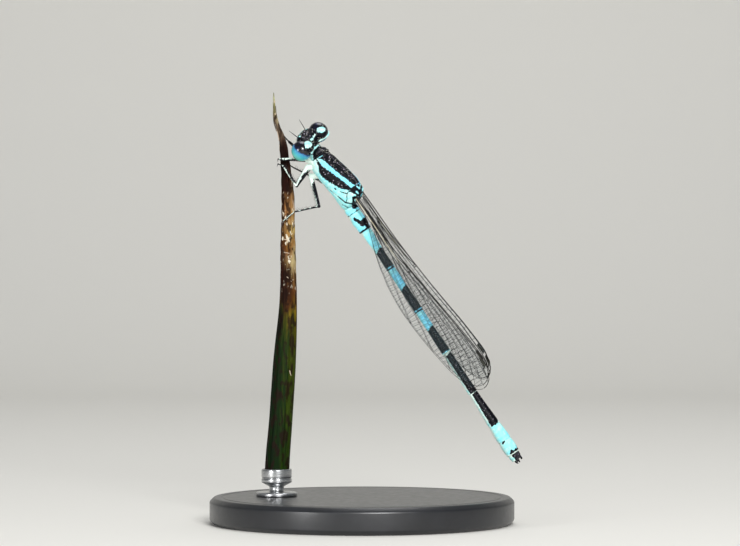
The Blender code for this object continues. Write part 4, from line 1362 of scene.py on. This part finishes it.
def stemFinish():
    # Dead rush: waxy green low down, drying to brown and maroon, with fine ribs and flaking skin;
    # painted shade darkens its left side and painted light brightens its right
    made, tree, shader = newFinish("rushSkin", IOR=1.46, Specular_IOR_Level=0.07)
    place = addNode(tree, "ShaderNodeTexCoord").outputs["Object"]
    height = addNode(tree, "ShaderNodeSeparateXYZ", {0: place}).outputs["Z"]
    wander = addNode(tree, "ShaderNodeMapRange",
                     {0: grain(tree, 0.9, 4.0, (1.0, 1.0, 0.35)), 1: 0.3, 2: 0.7, 3: -0.8 * mm,
                      4: 0.8 * mm})
    raised = addNode(tree, "ShaderNodeMath", {0: height, 1: wander}, operation="ADD")
    at = addNode(tree, "ShaderNodeMapRange", {0: raised, 1: 0.0, 2: stem["top"] * mm})
    left, middle, right = (
        addNode(tree, "ShaderNodeValToRGB", {0: at},
                stops=[(z / stem["top"], code) for z, code in rows])
        for rows in stem["colours"].values())
    streak = addNode(tree, "ShaderNodeMapRange",
                     {0: grain(tree, 0.20, 4.0, (1.0, 1.0, 0.07)), 1: 0.34, 2: 0.66, 3: -0.5,
                      4: 0.5})
    facing, peel = (
        addNode(tree, "ShaderNodeAttribute", attribute_name=name).outputs["Fac"]
        for name in ("facing", "peel"))
    facing = addNode(tree, "ShaderNodeMath", {0: facing, 1: streak}, operation="ADD")
    # towards the right the colour turns to painted light, towards the left to painted shade
    toLitRight = addNode(tree, "ShaderNodeMapRange", {0: facing, 1: 0.05, 2: 0.75})
    toShadedLeft = addNode(tree, "ShaderNodeMapRange", {0: facing, 1: -0.20, 2: -0.85})
    colour = addNode(tree, "ShaderNodeMix", {0: toLitRight, 1: middle, 2: right}, data_type="RGBA")
    colour = addNode(tree, "ShaderNodeMix", {0: toShadedLeft, 1: colour, 2: left}, data_type="RGBA")
    blotch = addNode(tree, "ShaderNodeMapRange",
                     {0: grain(tree, 0.42, 5.0, (1.0, 1.0, 0.5)), 1: 0.49, 2: 0.58, 4: 0.85})
    colour = addNode(tree, "ShaderNodeMix", {0: blotch, 1: colour, 2: "#1A0C07"}, data_type="RGBA")
    dry = addNode(tree, "ShaderNodeMapRange", {0: height, 1: 18.5 * mm, 2: 21.0 * mm})
    dead = addNode(tree, "ShaderNodeMapRange",
                   {0: height, 1: 26.5 * mm, 2: 27.5 * mm, 3: 1.0, 4: 0.0})
    flakes = addNode(tree, "ShaderNodeMapRange",
                     {0: grain(tree, 0.24, 6.0, (1.0, 1.0, 0.55)), 1: 0.60, 2: 0.66})
    flaked = addNode(tree, "ShaderNodeMath", {0: flakes, 1: dry}, operation="MULTIPLY")
    flaked = addNode(tree, "ShaderNodeMath", {0: flaked, 1: dead}, operation="MULTIPLY")
    colour = addNode(tree, "ShaderNodeMix", {0: flaked, 1: colour, 2: "#CFC6B2"}, data_type="RGBA")
    colour = addNode(tree, "ShaderNodeMix", {0: peel, 1: colour, 2: "#B9A793"}, data_type="RGBA")
    tree.links.new(colour.outputs[2], shader.inputs["Base Color"])
    rough = addNode(tree, "ShaderNodeMapRange",
                    {0: height, 1: 14.0 * mm, 2: 20.0 * mm, 3: 0.52, 4: 0.72})
    tree.links.new(rough.outputs[0], shader.inputs["Roughness"])
    fibre = addNode(tree, "ShaderNodeMath",
                    {0: grain(tree, 0.10, 3.0, (1.0, 1.0, 0.05)), 1: grain(tree, 0.25, 4.0)},
                    operation="ADD")
    rise = addNode(tree, "ShaderNodeBump",
                   {"Height": fibre, "Strength": 0.7, "Distance": 0.03 * mm})
    tree.links.new(rise.outputs[0], shader.inputs["Normal"])
    return made


def makeStem():
    skins = []

    def addRings(rings, facing, peel=0.0):
        skins.append(ringSkin(rings, facing=facing, peel=peel))

    stations = stem["stations"]
    height = np.linspace(stations[0][0], stations[-1][0], stem["rows"])
    across, radius = through(stations, height).T
    turn = fullTurn(stem["sides"])[None, :]
    z = height[:, None] + 0.0 * turn
    wobble = 0.5 * np.sin(0.9 * z + 1.3) + 0.3 * np.sin(2.3 * z)
    rib = stem["ribDepth"] * np.cos(stem["ribs"] * turn + 0.6 * wobble) * smooth(35.0, 30.0, z)
    dent = 0.03 * np.sin(1.7 * z + 2.0 * turn) * np.sin(3.1 * z)
    dent = dent * smooth(18.0, 22.0, z) * smooth(33.0, 30.0, z)
    oval = 1.0 + 0.03 * np.cos(2.0 * turn + 0.12 * z)
    r = np.maximum(radius[:, None] * oval + rib + dent, 0.02)
    points = (across[:, None] + r * np.cos(turn), stem["depth"] + r * np.sin(turn), z)
    addRings(np.stack(points, -1), np.cos(turn))
    for strip in stem["slivers"]:
        at = np.linspace(strip[0][0], strip[-1][0], 30)
        x, y, half = through(strip, at).T
        addRings(tubeRings(np.column_stack((x, y, at)), half, 14, 0.35), 0.6)
    for z, x, y, size in stem["beads"]:
        addRings(ellipsoidRings((x, y, z), (size, size, 1.4 * size), 14, 20)[0], 0.9, 0.8)
    share = np.linspace(0.0, 1.0, 16)
    curl = np.abs(2.0 * share - 1.0) ** 3  # the ends of a thread lift and thin out
    for low, turnLow, high, turnHigh, half in stem["peels"]:
        at, angle = low + (high - low) * share, np.radians(turnLow + (turnHigh - turnLow) * share)
        middle, radius = through(stations, at).T
        radius = radius + 0.01 + 0.05 * curl
        path = np.column_stack((middle + radius * np.cos(angle),
                                stem["depth"] + radius * np.sin(angle), at))
        addRings(tubeRings(path, half * (1.05 - curl), 8, 0.6), 0.0, 0.85)
    addPiece("rushStem", mergeSkins(skins), stemFinish(), ("perch_stem",))


makeStem()
print("perch: rush stem")


# Display stand

stand = {
    "baseRadius": 12.5,
    "baseThick": 2.2,
    "round": 0.35,
    "rodPlace": (-7.02, 0.5),
    "baseSides": 160,
    "rodSides": 96,
    "groove": (0.90, 0.98, 1.10, 1.18, 0.06),  # where it runs, from the edge inwards, and its depth
    "cup": (  # radius and height from the foot up, over the lip and down inside
        (0.02, 2.25), (1.70, 2.25), (1.70, 2.47), (1.58, 2.55), (0.72, 2.60), (0.60, 2.72),
        (0.60, 3.00), (0.74, 3.08), (1.25, 3.36), (1.25, 3.62), (1.19, 3.66), (1.19, 3.74),
        (1.25, 3.78), (1.25, 4.38), (1.18, 4.45), (1.08, 4.45), (1.02, 4.38), (1.02, 3.56),
        (0.02, 3.56)),
    "ringStep": 0.22,  # real turning rings are finer than this
}


def enamelFinish():
    # Turned aluminium under baked satin enamel: near black, soft reflections, faint turning rings
    made, tree, shader = mottledFinish(
        "bakedEnamel", 1.6, ((0.3, "#17181B"), (0.7, "#1E1F23")), 3.0, IOR=1.5, Coat_Weight=0.25,
        Coat_Roughness=0.2)
    rough = addNode(tree, "ShaderNodeMapRange", {0: grain(tree, 0.5, 4.0), 3: 0.30, 4: 0.46})
    tree.links.new(rough.outputs[0], shader.inputs["Roughness"])
    place = addNode(tree, "ShaderNodeTexCoord").outputs["Object"]
    rings = addNode(tree, "ShaderNodeTexWave",
                    {"Vector": place, "Scale": 1.0 / (7.0 * stand["ringStep"] * mm),
                     "Distortion": 0.0},
                    wave_type="RINGS", rings_direction="Z")
    orange = addNode(tree, "ShaderNodeMath", {0: rings, 1: grain(tree, 0.18, 2.0)}, operation="ADD")
    rise = addNode(tree, "ShaderNodeBump",
                   {"Height": orange, "Strength": 0.25, "Distance": 0.01 * mm})
    tree.links.new(rise.outputs[0], shader.inputs["Normal"])
    return made


def steelFinish():
    # Stainless steel, turned and brushed round its axis: bright, with fine level lines
    made, tree, shader = mottledFinish(
        "brushedSteel", 0.8, ((0.3, "#A9ABAD"), (0.7, "#C3C4C5")), 3.0, Metallic=1.0)
    lines = grain(tree, 0.5, 3.0, (0.15, 0.15, 9.0))
    rough = addNode(tree, "ShaderNodeMapRange", {0: lines, 1: 0.3, 2: 0.7, 3: 0.20, 4: 0.36})
    tree.links.new(rough.outputs[0], shader.inputs["Roughness"])
    rise = addNode(tree, "ShaderNodeBump",
                   {"Height": lines, "Strength": 0.3, "Distance": 0.006 * mm})
    tree.links.new(rise.outputs[0], shader.inputs["Normal"])
    return made


def rounded(profile, size):
    # a profile whose corners are rounded, from (radius, height) pairs
    made = [profile[0]]
    for before, corner, after in zip(profile, profile[1:], profile[2:]):
        one, two = np.subtract(before, corner), np.subtract(after, corner)
        cut = min(size, 0.45 * np.linalg.norm(one), 0.45 * np.linalg.norm(two))
        start, end = np.add(corner, unit(one) * cut), np.add(corner, unit(two) * cut)
        middle = np.asarray(corner)
        for t in np.linspace(0.0, 1.0, 5):
            made.append(tuple((1 - t) ** 2 * start + 2 * t * (1 - t) * middle + t * t * end))
    return made + [profile[-1]]


def makeStand():
    radius, thick, edge = stand["baseRadius"], stand["baseThick"], stand["round"]
    outer, outerFloor, innerFloor, inner, depth = stand["groove"]
    profile = [(0.02, 0.0), (radius - edge, 0.0), (radius, edge), (radius, thick - edge),
               (radius - edge, thick), (radius - outer, thick),
               (radius - outerFloor, thick - depth), (radius - innerFloor, thick - depth),
               (radius - inner, thick), (0.02, thick)]
    spread = [(r, thick) for r in np.linspace(radius - 1.4, 0.3, 12)]
    rings = turnedRings(rounded(profile, 0.12)[:-1] + spread + [(0.02, thick)], stand["baseSides"])
    addPiece("stand_baseDisc", ringSkin(rings), enamelFinish(), ("stand_base",))
    rings = turnedRings(rounded(stand["cup"], 0.04), stand["rodSides"], stand["rodPlace"])
    addPiece("stand_rodCup", ringSkin(rings), steelFinish(), ("stand_rod",))


makeStand()
print("stand: disc and cup")


# Floor, light and camera

studio = {
    "lens": 150.0,
    "cameraPlace": (0.656, -253.1, 20.55),
    "floor": "#E9E7E1",
    "floorReach": 260.0,
    "sweep": 90.0,
    "lights": {  # place, aim, size and power
        "key": ((60.0, -255.0, 115.0), (0.0, 0.0, 18.0), 100.0, 0.75),
        "fill": ((-170.0, -190.0, 42.0), (-4.0, 0.0, 24.0), 80.0, 0.22),
        "top": ((30.0, 60.0, 310.0), (0.0, 0.0, 0.0), 180.0, 0.30),
        "backdrop": ((0.0, 190.0, 330.0), (0.0, 350.0, 40.0), 220.0, 0.14),
    },
    "wallHeight": 420.0,
    "halfWidth": 700.0,
    "room": ((0.86, 0.90, 0.94, 1.0), 0.24),  # colour and strength of the light from all sides
}


def addLight(name, place, target, size, power):
    lamp = bpy.data.lights.new(name, "AREA")
    lamp.shape = "DISK"
    lamp.size = size * mm
    lamp.energy = power
    holder = inScene(name, lamp)
    holder.location = Vector(place) * mm
    aim = Vector(target) * mm - holder.location
    holder.rotation_euler = aim.to_track_quat("-Z", "Y").to_euler()


def makeStudio():
    # a floor that sweeps up into the wall behind
    out, sweep, wide = studio["floorReach"], studio["sweep"], studio["halfWidth"]
    rows = [(-out, 0.0)]
    rows += [(out + sweep * math.sin(a), sweep * (1.0 - math.cos(a)))
             for a in np.linspace(0.0, math.pi / 2, 14)]
    rows.append((out + sweep, studio["wallHeight"]))
    verts = [(x * mm, y * mm, z * mm) for y, z in rows for x in (-wide, wide)]
    faces = [[2 * i, 2 * i + 1, 2 * i + 3, 2 * i + 2] for i in range(len(rows) - 1)]
    mesh = bpy.data.meshes.new("studioFloor")
    mesh.from_pydata(verts, [], faces)
    mesh.shade_smooth()
    made, _, shader = newFinish("paintedFloor", Roughness=0.8)
    shader.inputs["Base Color"].default_value = linearColour(studio["floor"])
    mesh.materials.append(made)
    inScene("studioFloor", mesh)
    for name, values in studio["lights"].items():
        addLight(name + "Light", *values)
    world = bpy.data.worlds.new("softRoom")
    world.use_nodes = True
    air = world.node_tree.nodes["Background"].inputs
    air["Color"].default_value, air["Strength"].default_value = studio["room"]
    bpy.context.scene.world = world


def makeCamera():
    camera = bpy.data.cameras.new("frontCamera")
    camera.lens = studio["lens"]
    camera.sensor_width = 36.0
    camera.clip_start = 0.005
    camera.clip_end = 5.0
    holder = inScene("frontCamera", camera)
    holder.location = Vector(studio["cameraPlace"]) * mm
    holder.rotation_euler = (math.pi / 2.0, 0.0, 0.0)
    bpy.context.scene.camera = holder
    bpy.context.scene.view_settings.view_transform = "Standard"


makeStudio()
makeCamera()
print("studio: floor, lights and camera")
